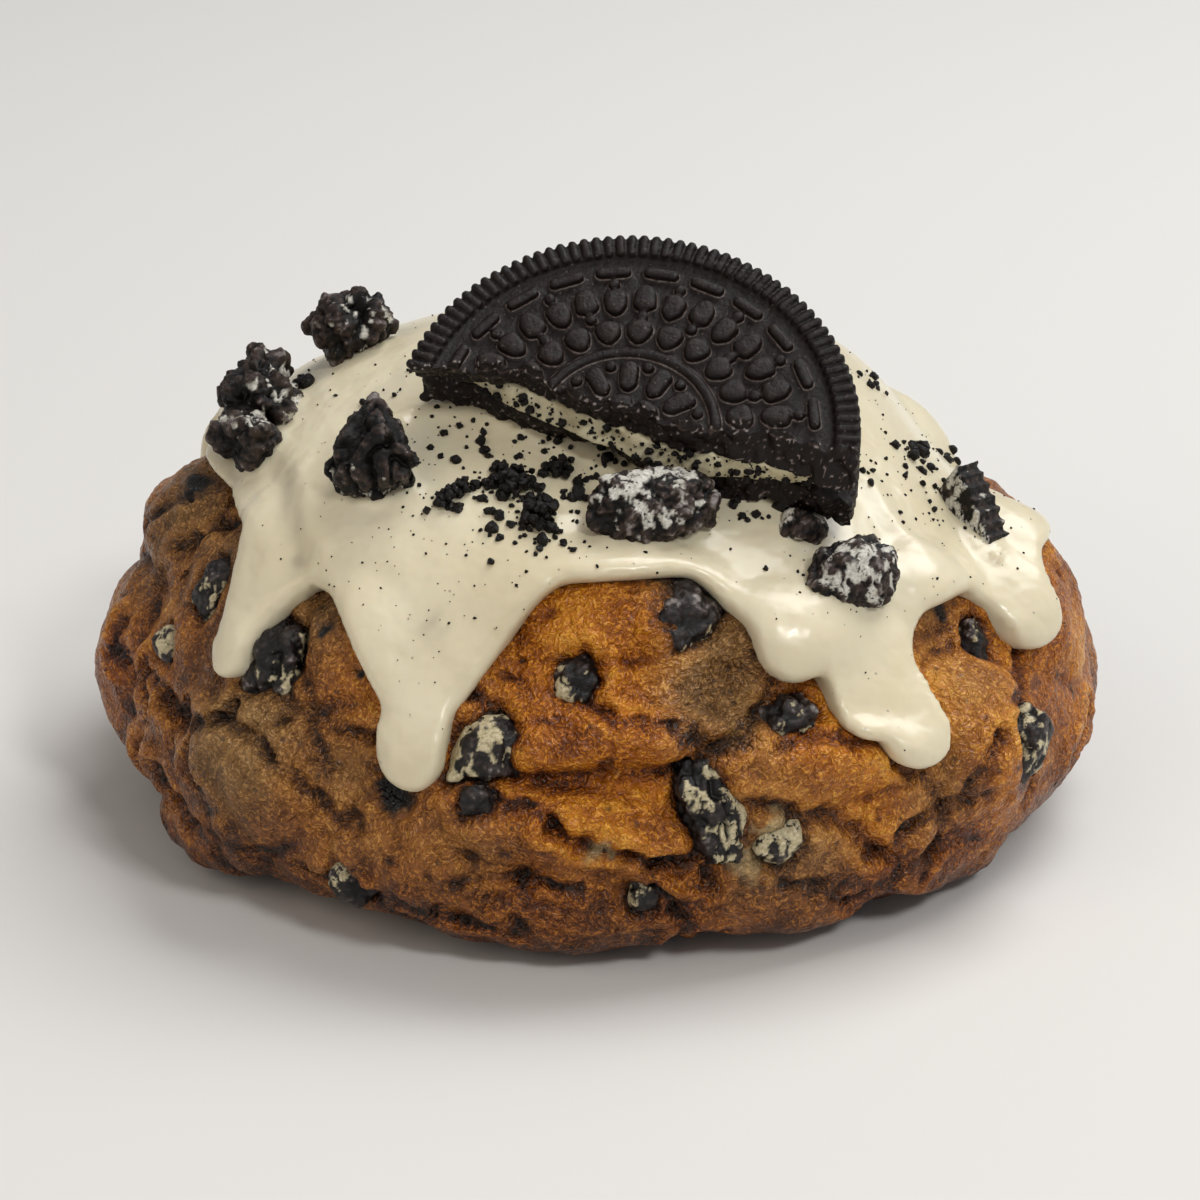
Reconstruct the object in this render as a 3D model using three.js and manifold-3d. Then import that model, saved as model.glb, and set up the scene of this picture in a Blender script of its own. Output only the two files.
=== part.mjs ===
// A cookies and cream cookie: a thick lumpy dome of baked dough with pieces of dark sandwich biscuit
// baked into it, poured white icing with drips, half a sandwich biscuit leaning on top, and broken
// biscuit pieces and crumbs in the icing. Millimetres and degrees, +Z up, resting on z = 0.
// A bearing is seen from above: 0 is the front (-Y), 90 is +X, -90 is -X. A polar angle is measured
// down from straight up, about the heart of the dome.
import * as THREE from "three";
import { ConvexGeometry } from "three/addons/geometries/ConvexGeometry.js";
import { mergeVertices } from "three/addons/utils/BufferGeometryUtils.js";
import Module from "manifold-3d";

const wasm = await Module();
wasm.setup();

// ---- Driving dimensions ----
const DOME = { halfWidth: 50.8, halfDepth: 48.4, girthHeight: 13, height: 47, shoulder: 1.78, foot: 3 };
const LOPSIDED = { shoulder: -0.2, halfWidth: 1.2 }; // how much flatter and wider the dome is towards +X
const FOOT_DEPTH = 1.25; // how far below the girth the foot's curve would reach, in girth heights
const GAP = 0.3; // between neighbouring pieces
const DOUGH_GRID = { around: 90, baseRings: 2, sideRings: 14, topRings: 3, topPolar: 53 };
const UNEVENNESS = 0.45; // height of the dough's small waves
const WAVE_LENGTH = 11;
const CREASE_BLEND = 0.9; // how soft the crease between two lobes is
const ICING = {
  thickness: 1.9,
  lip: 0.9, // thickness at its outline
  lipWidth: 2.6, // how far in from the outline it is full
  softBlend: 2.6, // how much it smooths the dough's creases
  standOff: 0.35,
  cornerBlend: 1.5, // degrees
  sink: 2.5, // how deep its skirt goes into the dough before the dough is cut away
};
const ICING_GRID = { coarseStep: 5.5, fineStep: 1.6, fineReach: 8, capPolars: [14, 27, 38, 46, 52] };
const ICING_SKIRT_SHARES = [0.3, 0.58, 0.8, 0.92, 1];
const BISCUIT = {
  radius: 22.3,
  waferThickness: 3.1,
  creamThickness: 1.9,
  creamRadius: 17.6,
  creamShift: 0.8,
  ridges: 58,
  ridgeDepth: 0.55,
  rimWidth: 3.6,
  fieldDrop: 0.35,
  breakSteps: 16,
  breakRoughness: 0.5,
  breakAt: { upper: 1.9, cream: 0.9, lower: 1.4 }, // how far past the middle each layer broke
};
const BISCUIT_POSE = { centre: [2.3, -27.5, 48.5], lean: 53.4, facing: -3.6, roll: -16.4 };

// Broad rises and hollows of the whole dome: where each is centred, its size and its height.
const RISES = [
  { bearing: 102, polar: 63, size: 14, proud: -3.5 },
  { bearing: -98, polar: 73, size: 8.5, proud: 2 },
  { bearing: -82, polar: 99, size: 8, proud: 2 },
  { bearing: 4, polar: 31, size: 12, proud: -4 },
  { bearing: 46, polar: 18, size: 11, proud: 3.2 },
];
// Lobes of dough that swell out of the plain dome: where each is centred, half its length along the
// dome, half its height, how far it stands proud, and how far it is turned.
const LOBES = [
  { bearing: -82, height: 16, along: 13, across: 13, proud: 2.6, turn: 0 },
  { bearing: -46, height: 15, along: 14.5, across: 10.5, proud: 2.6, turn: 8 },
  { bearing: -84, height: 29, along: 11, across: 9.5, proud: 2.8, turn: 20 },
  { bearing: -34, height: 27, along: 8, across: 8.5, proud: 1.5, turn: 0 },
  { bearing: 1, height: 32, along: 13, across: 8.2, proud: 1.9, turn: 3 },
  { bearing: -1, height: 23.2, along: 13, across: 3.2, proud: 1.9, turn: 6 },
  { bearing: -5, height: 15.6, along: 14, across: 5, proud: 2, turn: -5 },
  { bearing: -6, height: 6.2, along: 16, across: 6, proud: 1.1, turn: 0 },
  { bearing: -22, height: 11.5, along: 10, across: 8.5, proud: 2, turn: -24 },
  { bearing: 26, height: 19.5, along: 13.5, across: 5, proud: 2.2, turn: -7 },
  { bearing: 25, height: 29, along: 9, across: 6.5, proud: 1.7, turn: 0 },
  { bearing: 21, height: 7.2, along: 13, across: 6.2, proud: 1.1, turn: -9 },
  { bearing: 50, height: 15, along: 12, across: 11, proud: 2.2, turn: -35 },
  { bearing: 76, height: 20, along: 13, across: 15, proud: 2, turn: 0 },
  { bearing: 51, height: 29, along: 7, across: 6.5, proud: 1.7, turn: 0 },
  { bearing: -55, height: 5.5, along: 12, across: 5.2, proud: 2.3, turn: 12 },
  { bearing: 46, height: 6.5, along: 13, across: 5.5, proud: 0.8, turn: -8 },
];
// The far side isn't seen, so its lobes follow a rule: rows of lobes with seeded unevenness.
const FAR_LOBE_ROWS = [
  { height: 7, count: 6, along: 14, across: 7, proud: 1.8 },
  { height: 18, count: 6, along: 13, across: 8.5, proud: 2.2 },
  { height: 30, count: 5, along: 12, across: 8, proud: 1.6 },
];
const FAR_SIDE = { from: 98, to: 262 };

// The rim of the poured icing, as its polar angle at some bearings, which a smooth curve joins.
const RIM = [
  { bearing: -165, polar: 59 },
  { bearing: -90, polar: 58.2 },
  { bearing: -74, polar: 58.4 },
  { bearing: -62, polar: 59.9 },
  { bearing: -38, polar: 62.7 },
  { bearing: -3, polar: 56.6 },
  { bearing: 11, polar: 56 },
  { bearing: 50, polar: 67.1 },
  { bearing: 64, polar: 68.2 },
  { bearing: 80, polar: 68.6 },
  { bearing: 92, polar: 74 },
  { bearing: 102, polar: 73.5 },
  { bearing: 111, polar: 66 },
  { bearing: 119, polar: 55 },
  { bearing: 130, polar: 53.6 },
  { bearing: 150, polar: 58.5 },
];
// Its drips: bearing and polar angle of the tip, the width of the finger to the tip's left and right
// as seen from outside, and the rise and the two widths of the funnel it flows down from, in degrees.
// A drip with a proud of its own has no swollen tip.
const DRIPS = [
  { bearing: -48.9, tip: 77, left: 2.8, right: 2.8, funnel: 13, funnelLeft: 8, funnelRight: 4.6 },
  { bearing: -20.8, tip: 83.1, left: 4.8, right: 3.2, funnel: 17.5, funnelLeft: 10.6, funnelRight: 9.6 },
  { bearing: 25, tip: 72, left: 5, right: 7, funnel: 11, funnelLeft: 7.5, funnelRight: 9, proud: 0 },
  { bearing: 32.8, tip: 79.6, left: 4.4, right: 3, funnel: 14.5, funnelLeft: 8, funnelRight: 8, proud: 0 },
  { bearing: 38, tip: 83.8, left: 5, right: 3.4, funnel: 12, funnelLeft: 8, funnelRight: 5.6 },
  { bearing: 63.8, tip: 78.6, left: 4, right: 4.2, funnel: 8, funnelLeft: 5, funnelRight: 6 },
  { bearing: 140, tip: 77, left: 4.4, right: 4, funnel: 11, funnelLeft: 9, funnelRight: 9 },
  { bearing: 160, tip: 71, left: 4.2, right: 5, funnel: 7, funnelLeft: 9, funnelRight: 9 },
  { bearing: 188, tip: 82, left: 4, right: 4.4, funnel: 14, funnelLeft: 11, funnelRight: 11 },
  { bearing: 220, tip: 70, left: 4.4, right: 4, funnel: 6, funnelLeft: 10, funnelRight: 9 },
  { bearing: 243, tip: 76, left: 3.6, right: 4, funnel: 10, funnelLeft: 9, funnelRight: 8 },
];
const TIP = { setBack: 4.5, size: 3.8, proud: 0.7 }; // the fuller end of each drip
// Swells of the poured icing on the dome: the rise behind the biscuit, and folds at the sides.
const SWELLS = [
  { bearing: 112, polar: 43, size: 12, proud: 3.3 },
  { bearing: 20, polar: 6, size: 13, proud: 3.3 },
  { bearing: -52, polar: 56, size: 9, proud: 1.2 },
  { bearing: -8, polar: 46, size: 13, proud: 0.9 },
  { bearing: 34, polar: 62, size: 8, proud: 1 },
  { bearing: 75, polar: 40, size: 12, proud: 1 },
  { bearing: -95, polar: 42, size: 12, proud: 0.8 },
];

// Broken biscuit pieces lying in the icing: centre on the dome, how far it stands off, and its size.
const TOPPING_CHUNKS = [
  { bearing: -42, polar: 45.7, lift: 3, size: [7.8, 7.6, 10], turn: -30, seed: 51, taper: 0.8 },
  { bearing: -96.4, polar: 36.1, lift: 2.9, size: [6, 6, 8], turn: -20, seed: 23, taper: 0.35 },
  { bearing: -82.4, polar: 48.8, lift: 2.6, size: [10.5, 6.5, 6.2], turn: 10, seed: 31 },
  { bearing: -73.5, polar: 53.1, lift: 1.6, size: [7.3, 6.3, 5.3], turn: -15, seed: 47 },
  { bearing: 8.8, polar: 47.5, lift: 2.6, size: [11.5, 5.9, 6.5], turn: -6, seed: 53 },
  { bearing: 36.9, polar: 61.1, lift: 1.5, size: [9.4, 5.6, 6.2], turn: 4, seed: 67 },
  { bearing: 35.1, polar: 53.3, lift: 0.2, size: [4.3, 4, 4.2], turn: 40, seed: 71 },
];
const RIM_PIECE = { bearing: 69.6, polar: 61, lift: 2.1, span: 27, width: 5.9, turn: 17, lean: 14 };

// Biscuit pieces baked into the dough's side: width along the dome, height, and how far they stand proud.
const DOUGH_CHUNKS = [
  { bearing: -43.8, height: 25.7, width: 5.4, tall: 8.6, proud: 1.2, turn: 10, seed: 101 },
  { bearing: -62.2, height: 27.9, width: 4.2, tall: 7.9, proud: 0.9, turn: 0, seed: 102 },
  { bearing: -66.3, height: 22.2, width: 3.8, tall: 4, proud: 0.8, turn: -10, seed: 103 },
  { bearing: -13.5, height: 22, width: 8.4, tall: 7, proud: 0.7, turn: -35, seed: 104 },
  { bearing: -13.6, height: 18.6, width: 3.5, tall: 2.8, proud: 0.8, turn: 0, seed: 105 },
  { bearing: -29.9, height: 7.6, width: 5.9, tall: 5.6, proud: 0.9, turn: 15, seed: 106 },
  { bearing: -3.3, height: 28.1, width: 4.1, tall: 5.8, proud: 0.8, turn: 20, seed: 107 },
  { bearing: 12.3, height: 32.1, width: 7.4, tall: 9.1, proud: 0.5, turn: 30, seed: 108 },
  { bearing: 23.3, height: 23.8, width: 5.7, tall: 4.9, proud: 1, turn: 0, seed: 109 },
  { bearing: 12.9, height: 16.5, width: 6.6, tall: 11.9, proud: 1.3, turn: -14, seed: 110 },
  { bearing: 4.9, height: 9.1, width: 2.8, tall: 3.7, proud: 0.8, turn: 0, seed: 111 },
  { bearing: 56.1, height: 24.8, width: 3.7, tall: 4.8, proud: 0.8, turn: 8, seed: 112 },
  { bearing: 53.8, height: 16.3, width: 5, tall: 8.4, proud: 1.3, turn: 5, seed: 113 },
  { bearing: 20.2, height: 13.3, width: 5.2, tall: 4.5, proud: 0.6, turn: 0, seed: 114 },
];
const FAR_CHUNKS = {
  count: 8,
  from: 92,
  to: 268,
  heights: [22, 12, 29, 17],
  size: [4.6, 7.6],
  proud: 1,
  seed: 7,
};

// Crumbs large enough to show from a step away, fused to the icing: bearing, polar angle and size.
const CHUNK_BOXINESS = 3.2; // 2 would be an egg, and more is nearer to a block
const CRUMBS = [
  { bearing: -17, polar: 44, size: 3.6 },
  { bearing: -10, polar: 39, size: 2.6 },
  { bearing: -10.5, polar: 49, size: 3.2 },
  { bearing: -26.5, polar: 46.5, size: 2 },
  { bearing: -27.5, polar: 48.5, size: 1.8 },
  { bearing: -22, polar: 41.5, size: 1.4 },
  { bearing: -21.5, polar: 44, size: 1.5 },
];

const COLOURS = {
  dough: { color: 0xa9672b, roughness: 0.6 },
  icing: { color: 0xdccfae, roughness: 0.25 },
  wafer: { color: 0x241c1a, roughness: 0.55 },
  cream: { color: 0xcfc29a, roughness: 0.5 },
  chunk: { color: 0x1e1a1b, roughness: 0.6 },
};

// ---- Small helpers ----
const radians = THREE.MathUtils.degToRad;
const vector = (x, y, z) => new THREE.Vector3(x, y, z);
const HEART = vector(0, 0, DOME.girthHeight);

/** The outward unit direction at a bearing and a polar angle. */
function direction(bearing, polar) {
  const b = radians(bearing);
  const p = radians(polar);
  return vector(Math.sin(p) * Math.sin(b), -Math.sin(p) * Math.cos(b), Math.cos(p));
}

/** A repeatable stream of numbers from 0 to 1. */
function randomStream(seed) {
  let state = seed >>> 0;
  return () => {
    state = (state + 0x6d2b79f5) >>> 0;
    let t = Math.imul(state ^ (state >>> 15), 1 | state);
    t = (t + Math.imul(t ^ (t >>> 7), 61 | t)) ^ t;
    return ((t ^ (t >>> 14)) >>> 0) / 4294967296;
  };
}

/** The larger of two numbers, with a rounded corner where they are nearly equal. */
function softMax(a, b, blend) {
  const h = Math.max(blend - Math.abs(a - b), 0) / blend;
  return Math.max(a, b) + (h * h * blend) / 4;
}

/** Gentle waves over the dough, from -1 to 1. */
function waves(p, length) {
  const k = (2 * Math.PI) / length;
  return (
    (Math.sin(k * (p.x + 0.35 * p.z) + 1.3) * Math.cos(k * (0.8 * p.y - 0.3 * p.x) + 0.4) +
      Math.sin(k * (1.1 * p.z - 0.6 * p.y) + 2.1) * Math.cos(k * (0.9 * p.x + 0.5 * p.y)) +
      Math.sin(k * (1.7 * p.x - 1.3 * p.y + 0.9 * p.z))) /
    2.2
  );
}

/** A closed mesh as a solid for boolean work. */
function solidOf(geometry, matrix) {
  const bare = (geometry.index ? geometry.toNonIndexed() : geometry.clone()).deleteAttribute("normal");
  bare.deleteAttribute("uv");
  if (matrix) bare.applyMatrix4(matrix);
  const merged = mergeVertices(bare, 1e-3);
  return new wasm.Manifold(
    new wasm.Mesh({
      numProp: 3,
      vertProperties: merged.attributes.position.array,
      triVerts: new Uint32Array(merged.index.array),
    }),
  );
}

/** A solid as a geometry, without scraps that boolean work cut loose. */
function geometryOf(solid) {
  const largest = solid.decompose().reduce((a, b) => (a.volume() > b.volume() ? a : b));
  const mesh = largest.getMesh();
  const geometry = new THREE.BufferGeometry();
  geometry.setAttribute("position", new THREE.BufferAttribute(new Float32Array(mesh.vertProperties), 3));
  geometry.setIndex(new THREE.BufferAttribute(new Uint32Array(mesh.triVerts), 1));
  return geometry;
}

// ---- The form of the dough ----

/** How far the plain dome reaches from its heart along a unit direction. */
function plainReach(d) {
  const side = d.x / Math.max(Math.hypot(d.x, d.y), 1e-9);
  const out = Math.hypot(d.x / (DOME.halfWidth + LOPSIDED.halfWidth * side), d.y / DOME.halfDepth);
  const above = d.z > 0;
  const rise = above ? DOME.height - DOME.girthHeight : DOME.girthHeight * FOOT_DEPTH;
  const power = above ? DOME.shoulder + LOPSIDED.shoulder * side : DOME.foot;
  return (out ** power + (Math.abs(d.z) / rise) ** power) ** (-1 / power);
}

/** The polar angle at which the plain dome stands at a height, on one bearing. */
function polarAt(bearing, height) {
  let low = 0;
  let high = 170;
  for (let i = 0; i < 40; i++) {
    const middle = (low + high) / 2;
    const d = direction(bearing, middle);
    if (HEART.z + d.z * plainReach(d) > height) low = middle;
    else high = middle;
  }
  return low;
}

/** A lobe as an ellipsoid: the matrix takes points about the heart into its unit sphere. */
function lobeBody({ bearing, polar, along, across, proud, turn }) {
  const d = direction(bearing, polar);
  const sideways = direction(bearing + 90, 90);
  const up = vector().crossVectors(sideways, d).negate();
  const thick = Math.min(along, across) * 0.9 + 1;
  const centre = d.clone().multiplyScalar(plainReach(d) + proud - thick);
  const matrix = new THREE.Matrix4()
    .makeBasis(sideways, up, d)
    .setPosition(centre)
    .multiply(new THREE.Matrix4().makeRotationZ(radians(turn)))
    .scale(vector(along, across, thick));
  return matrix.invert();
}

/** How far a lobe reaches from the heart along a unit direction, or 0 where it isn't met. */
function lobeReach(toUnit, d) {
  const o = vector(0, 0, 0).applyMatrix4(toUnit);
  const v = d.clone().applyMatrix4(toUnit).sub(o);
  const along = -o.dot(v);
  const inside = along * along - v.lengthSq() * (o.lengthSq() - 1);
  return inside > 0 ? (along + Math.sqrt(inside)) / v.lengthSq() : 0;
}

function makeLobes() {
  const near = LOBES.map((lobe) => ({ ...lobe, polar: polarAt(lobe.bearing, lobe.height) }));
  const random = randomStream(5);
  const far = FAR_LOBE_ROWS.flatMap((row) =>
    Array.from({ length: row.count }, (_, i) => {
      const share = (i + 0.5 + 0.35 * (random() - 0.5)) / row.count;
      const bearing = THREE.MathUtils.lerp(FAR_SIDE.from, FAR_SIDE.to, share);
      const height = row.height + 3 * (random() - 0.5);
      return {
        polar: polarAt(bearing, height),
        bearing,
        along: row.along * (0.85 + 0.3 * random()),
        across: row.across * (0.85 + 0.3 * random()),
        proud: row.proud * (0.8 + 0.4 * random()),
        turn: 24 * (random() - 0.5),
      };
    }),
  );
  return [...near, ...far].map(lobeBody);
}
const lobes = makeLobes();

/** Gives each swell in a list its direction from the heart. */
const placeSwells = (list) => list.map((s) => ({ ...s, centre: direction(s.bearing, s.polar) }));

/** The height that a list of swells adds at a direction where the surface is a given reach away. */
function swellHeight(list, d, reach) {
  return list.reduce((sum, s) => sum + s.proud * Math.exp(-(((d.angleTo(s.centre) * reach) / s.size) ** 2)), 0);
}
const rises = placeSwells(RISES);

/** How far the lobed dome reaches along a direction, with creases as soft as the blend says. */
function lobedReach(d, blend) {
  const plain = plainReach(d);
  const lobed = lobes.reduce((reach, lobe) => softMax(reach, lobeReach(lobe, d), blend), plain);
  return lobed + swellHeight(rises, d, plain);
}

/** The dough's own surface: the lobed dome with small waves, cut flat at the base. */
function doughReach(d) {
  const reach = lobedReach(d, CREASE_BLEND);
  const uneven = UNEVENNESS * waves(d.clone().multiplyScalar(reach), WAVE_LENGTH);
  return reach + uneven;
}

/** A point at a reach along a direction, stopped at the flat base. */
function pointAt(d, reach, base = 0) {
  const stop = d.z < 0 ? Math.min(reach, (HEART.z - base) / -d.z) : reach;
  return d.clone().multiplyScalar(stop).add(HEART);
}

/** The dough as a closed grid of rings, grown outwards by a margin. */
function doughSolid(grow) {
  const { around, baseRings, sideRings, topRings, topPolar } = DOUGH_GRID;
  const rings = baseRings + sideRings + topRings;
  const sphere = new THREE.SphereGeometry(1, around, rings).rotateX(Math.PI / 2);
  const places = sphere.attributes.position;
  for (let ring = 0; ring <= rings; ring++)
    for (let step = 0; step <= around; step++) {
      const i = ring * (around + 1) + step;
      const bearing = (360 * (step % around)) / around;
      let polar = 180;
      if (ring <= topRings) polar = (topPolar * ring) / topRings;
      else if (ring < rings) {
        const footPolar = polarAt(bearing, 0.01);
        const sideShare = Math.min((ring - topRings) / sideRings, 1);
        polar = THREE.MathUtils.lerp(topPolar, footPolar + 1.5, sideShare);
        const baseShare = Math.max(ring - topRings - sideRings, 0) / baseRings;
        polar = THREE.MathUtils.lerp(polar, 180, baseShare);
      }
      const d = direction(bearing, polar);
      const p = pointAt(d, doughReach(d) + grow, -grow);
      places.setXYZ(i, p.x, p.y, p.z);
    }
  return solidOf(sphere);
}

// ---- The form of the icing ----

/** The turn from one bearing to another, from -180 to 180. */
function turnBetween(from, to) {
  return THREE.MathUtils.euclideanModulo(to - from + 180, 360) - 180;
}

/** The rim's polar angle on a bearing, eased from each named place to the next. */
function rimPolar(bearing) {
  const ahead = RIM.map((r) => THREE.MathUtils.euclideanModulo(r.bearing - bearing, 360));
  const next = ahead.indexOf(Math.min(...ahead));
  const last = RIM.at(next - 1);
  const span = THREE.MathUtils.euclideanModulo(RIM[next].bearing - last.bearing, 360);
  const share = THREE.MathUtils.smoothstep(1 - ahead[next] / span, 0, 1);
  return THREE.MathUtils.lerp(last.polar, RIM[next].polar, share);
}

/** The polar angle where the icing ends on a bearing: the poured rim, its funnels and its fingers. */
function icingEdge(bearing) {
  const rim = rimPolar(bearing);
  let edge = rim;
  for (const drip of DRIPS) {
    const away = turnBetween(drip.bearing, bearing);
    const width = away < 0 ? drip.funnelLeft : drip.funnelRight;
    edge = softMax(edge, rim + drip.funnel * Math.exp(-((away / width) ** 2)), ICING.cornerBlend);
  }
  for (const drip of DRIPS) {
    const away = turnBetween(drip.bearing, bearing);
    const share = Math.abs(away) / (away < 0 ? drip.left : drip.right);
    const round = ((drip.left + drip.right) / 2) * (1 - Math.sqrt(Math.max(1 - share * share, 0)));
    if (share < 1) edge = softMax(edge, drip.tip - round, ICING.cornerBlend);
  }
  return edge;
}

const tips = DRIPS.map(({ bearing, tip, proud = TIP.proud }) => ({
  size: TIP.size,
  proud,
  bearing,
  polar: tip - TIP.setBack,
}));
const swells = placeSwells([...SWELLS, ...tips]);

/** The smooth bed that the icing's surface follows, before its own thickness. */
function icingBed(d) {
  const soft = lobedReach(d, ICING.softBlend) + ICING.standOff;
  return soft + swellHeight(swells, d, soft);
}

/** The icing's outline on the dome, close enough together to measure distances from. */
const outline = Array.from({ length: 3600 }, (_, i) => {
  const bearing = i / 10 - 180;
  const d = direction(bearing, icingEdge(bearing));
  return { bearing, point: pointAt(d, icingBed(d)) };
});

/** The distance from a point on the icing to its outline. */
function distanceToOutline(bearing, p) {
  const nearby = 25;
  let nearest = Infinity;
  for (const o of outline)
    if (Math.abs(turnBetween(o.bearing, bearing)) < nearby)
      nearest = Math.min(nearest, o.point.distanceToSquared(p));
  return Math.sqrt(nearest);
}

/** How far the icing's outer surface reaches: it rounds down to a lip at the outline. */
function icingReach(bearing, d) {
  const bed = icingBed(d);
  const share = Math.min(distanceToOutline(bearing, pointAt(d, bed)) / ICING.lipWidth, 1);
  const crown = Math.sqrt(1 - (1 - share) ** 2);
  return bed + THREE.MathUtils.lerp(ICING.lip, ICING.thickness, crown);
}

/** The bearings of the icing's columns: closer together at the drips. */
function icingColumns() {
  const columns = [];
  for (let bearing = -180; bearing < 180; ) {
    columns.push(bearing);
    const nearest = Math.min(...DRIPS.map((drip) => Math.abs(turnBetween(drip.bearing, bearing))));
    const calm = THREE.MathUtils.smoothstep(nearest, ICING_GRID.fineReach * 0.6, ICING_GRID.fineReach * 1.4);
    bearing += THREE.MathUtils.lerp(ICING_GRID.fineStep, ICING_GRID.coarseStep, calm);
  }
  return columns;
}

/** The icing as a cap that reaches down into the dough, which is then cut away. */
function icingCap() {
  const columns = icingColumns();
  const caps = ICING_GRID.capPolars;
  const rings = caps.length + ICING_SKIRT_SHARES.length + 2;
  const sphere = new THREE.SphereGeometry(1, columns.length, rings).rotateX(Math.PI / 2);
  const places = sphere.attributes.position;
  const inside = pointAt(direction(0, 0), DOME.height * 0.4);
  for (let step = 0; step <= columns.length; step++) {
    const bearing = columns[step % columns.length];
    const edge = icingEdge(bearing);
    for (let ring = 0; ring <= rings; ring++) {
      let polar = 0;
      if (ring > 0 && ring <= caps.length) polar = caps[ring - 1];
      else if (ring > 0) {
        const share = ICING_SKIRT_SHARES[Math.min(ring - caps.length, ICING_SKIRT_SHARES.length) - 1];
        polar = THREE.MathUtils.lerp(caps.at(-1), edge, share);
      }
      const d = direction(bearing, polar);
      let p = ring < rings ? pointAt(d, icingReach(bearing, d)) : inside;
      if (ring === rings - 1) p = pointAt(d, doughReach(d) - ICING.sink);
      places.setXYZ(ring * (columns.length + 1) + step, p.x, p.y, p.z);
    }
  }
  return solidOf(sphere);
}

// ---- Broken biscuit pieces ----

/** A broken piece: the hull of points spread unevenly over a block with blunt corners, narrower at its top. */
function chunkGeometry(size, seed, corners, taper = 0) {
  const random = randomStream(seed);
  const golden = Math.PI * (3 - Math.sqrt(5));
  const points = Array.from({ length: corners }, (_, i) => {
    const z = 1 - (2 * (i + 0.5)) / corners + 0.5 * (random() - 0.5) / Math.sqrt(corners);
    const out = Math.sqrt(Math.max(1 - z * z, 0));
    const turn = golden * i + 1.6 * (random() - 0.5) / Math.sqrt(corners) + seed;
    const d = [out * Math.cos(turn), out * Math.sin(turn), z];
    const boxy = d.reduce((sum, c) => sum + Math.abs(c) ** CHUNK_BOXINESS, 0) ** (-1 / CHUNK_BOXINESS);
    const reach = boxy * (0.86 + 0.28 * random());
    const narrow = 1 - taper * z;
    d[0] *= narrow;
    return vector(...d.map((c, axis) => (c * reach * size[axis]) / 2));
  });
  return new ConvexGeometry(points);
}

/** The frame that stands on the dome at a direction: sideways, outwards and up along the dome. */
function placeOnDome(bearing, polar, reach, turn) {
  const d = direction(bearing, polar);
  const sideways = direction(bearing + 90, 90);
  const up = vector().crossVectors(sideways, d).negate();
  return new THREE.Matrix4()
    .makeBasis(sideways, d.clone().negate(), up)
    .setPosition(d.multiplyScalar(reach).add(HEART))
    .multiply(new THREE.Matrix4().makeRotationY(radians(turn)));
}

/** A piece together with the same piece grown by the gap, which is cut out of its neighbours. */
function pieceWithRoom(geometry, matrix) {
  geometry.computeBoundingBox();
  const size = geometry.boundingBox.getSize(vector());
  const centre = geometry.boundingBox.getCenter(vector());
  const grown = geometry
    .clone()
    .translate(-centre.x, -centre.y, -centre.z)
    .scale(1 + (2.6 * GAP) / size.x, 1 + (2.6 * GAP) / size.y, 1 + (2.6 * GAP) / size.z)
    .translate(centre.x, centre.y, centre.z);
  return { solid: solidOf(geometry, matrix), room: solidOf(grown, matrix) };
}

function toppingChunk({ bearing, polar, lift, size, turn, seed, taper }) {
  const d = direction(bearing, polar);
  const matrix = placeOnDome(bearing, polar, icingReach(bearing, d) + lift, turn);
  return pieceWithRoom(chunkGeometry(size, seed, 26, taper), matrix);
}

function doughChunk({ bearing, height, width, tall, proud, turn, seed }) {
  const polar = polarAt(bearing, height);
  const deep = Math.min(width, tall) * 0.95;
  const matrix = placeOnDome(bearing, polar, doughReach(direction(bearing, polar)) + proud - deep / 2, turn);
  return pieceWithRoom(chunkGeometry([width, deep, tall], seed, 16), matrix);
}

function farChunks() {
  const random = randomStream(FAR_CHUNKS.seed);
  return Array.from({ length: FAR_CHUNKS.count }, (_, i) => {
    const share = (i + 0.5 + 0.4 * (random() - 0.5)) / FAR_CHUNKS.count;
    const [small, large] = FAR_CHUNKS.size;
    const bearing = THREE.MathUtils.lerp(FAR_CHUNKS.from, FAR_CHUNKS.to, share);
    const edge = direction(bearing, icingEdge(bearing));
    const lowestIcing = pointAt(edge, doughReach(edge)).z;
    const wanted = FAR_CHUNKS.heights[i % FAR_CHUNKS.heights.length] + 3 * (random() - 0.5);
    return {
      bearing,
      height: Math.min(wanted, lowestIcing - large),
      width: small + (large - small) * random(),
      tall: small + (large - small) * random(),
      proud: FAR_CHUNKS.proud,
      turn: 60 * (random() - 0.5),
      seed: 200 + i,
    };
  });
}

// ---- The half sandwich biscuit ----

/** Half a disc that was snapped along a rough line; every second point of its rim is set in. */
function halfDiscShape({ radius, steps, breakAt, ridgeDepth = 0, roughness = 0, breakSteps = 1, seed = 1 }) {
  const random = randomStream(seed);
  const halfBreak = Math.sqrt(radius * radius - breakAt * breakAt);
  const points = [new THREE.Vector2(halfBreak, breakAt)];
  for (let i = 1; i < steps; i++) {
    const angle = (Math.PI * i) / steps;
    const r = radius - (i % 2 ? ridgeDepth : 0);
    if (r * Math.sin(angle) > breakAt + 0.3)
      points.push(new THREE.Vector2(r * Math.cos(angle), r * Math.sin(angle)));
  }
  for (let i = 0; i < breakSteps; i++) {
    const x = halfBreak * ((2 * i) / breakSteps - 1);
    points.push(new THREE.Vector2(x, breakAt + (i ? roughness * (2 * random() - 1) : 0)));
  }
  return new THREE.Shape(points);
}

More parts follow.
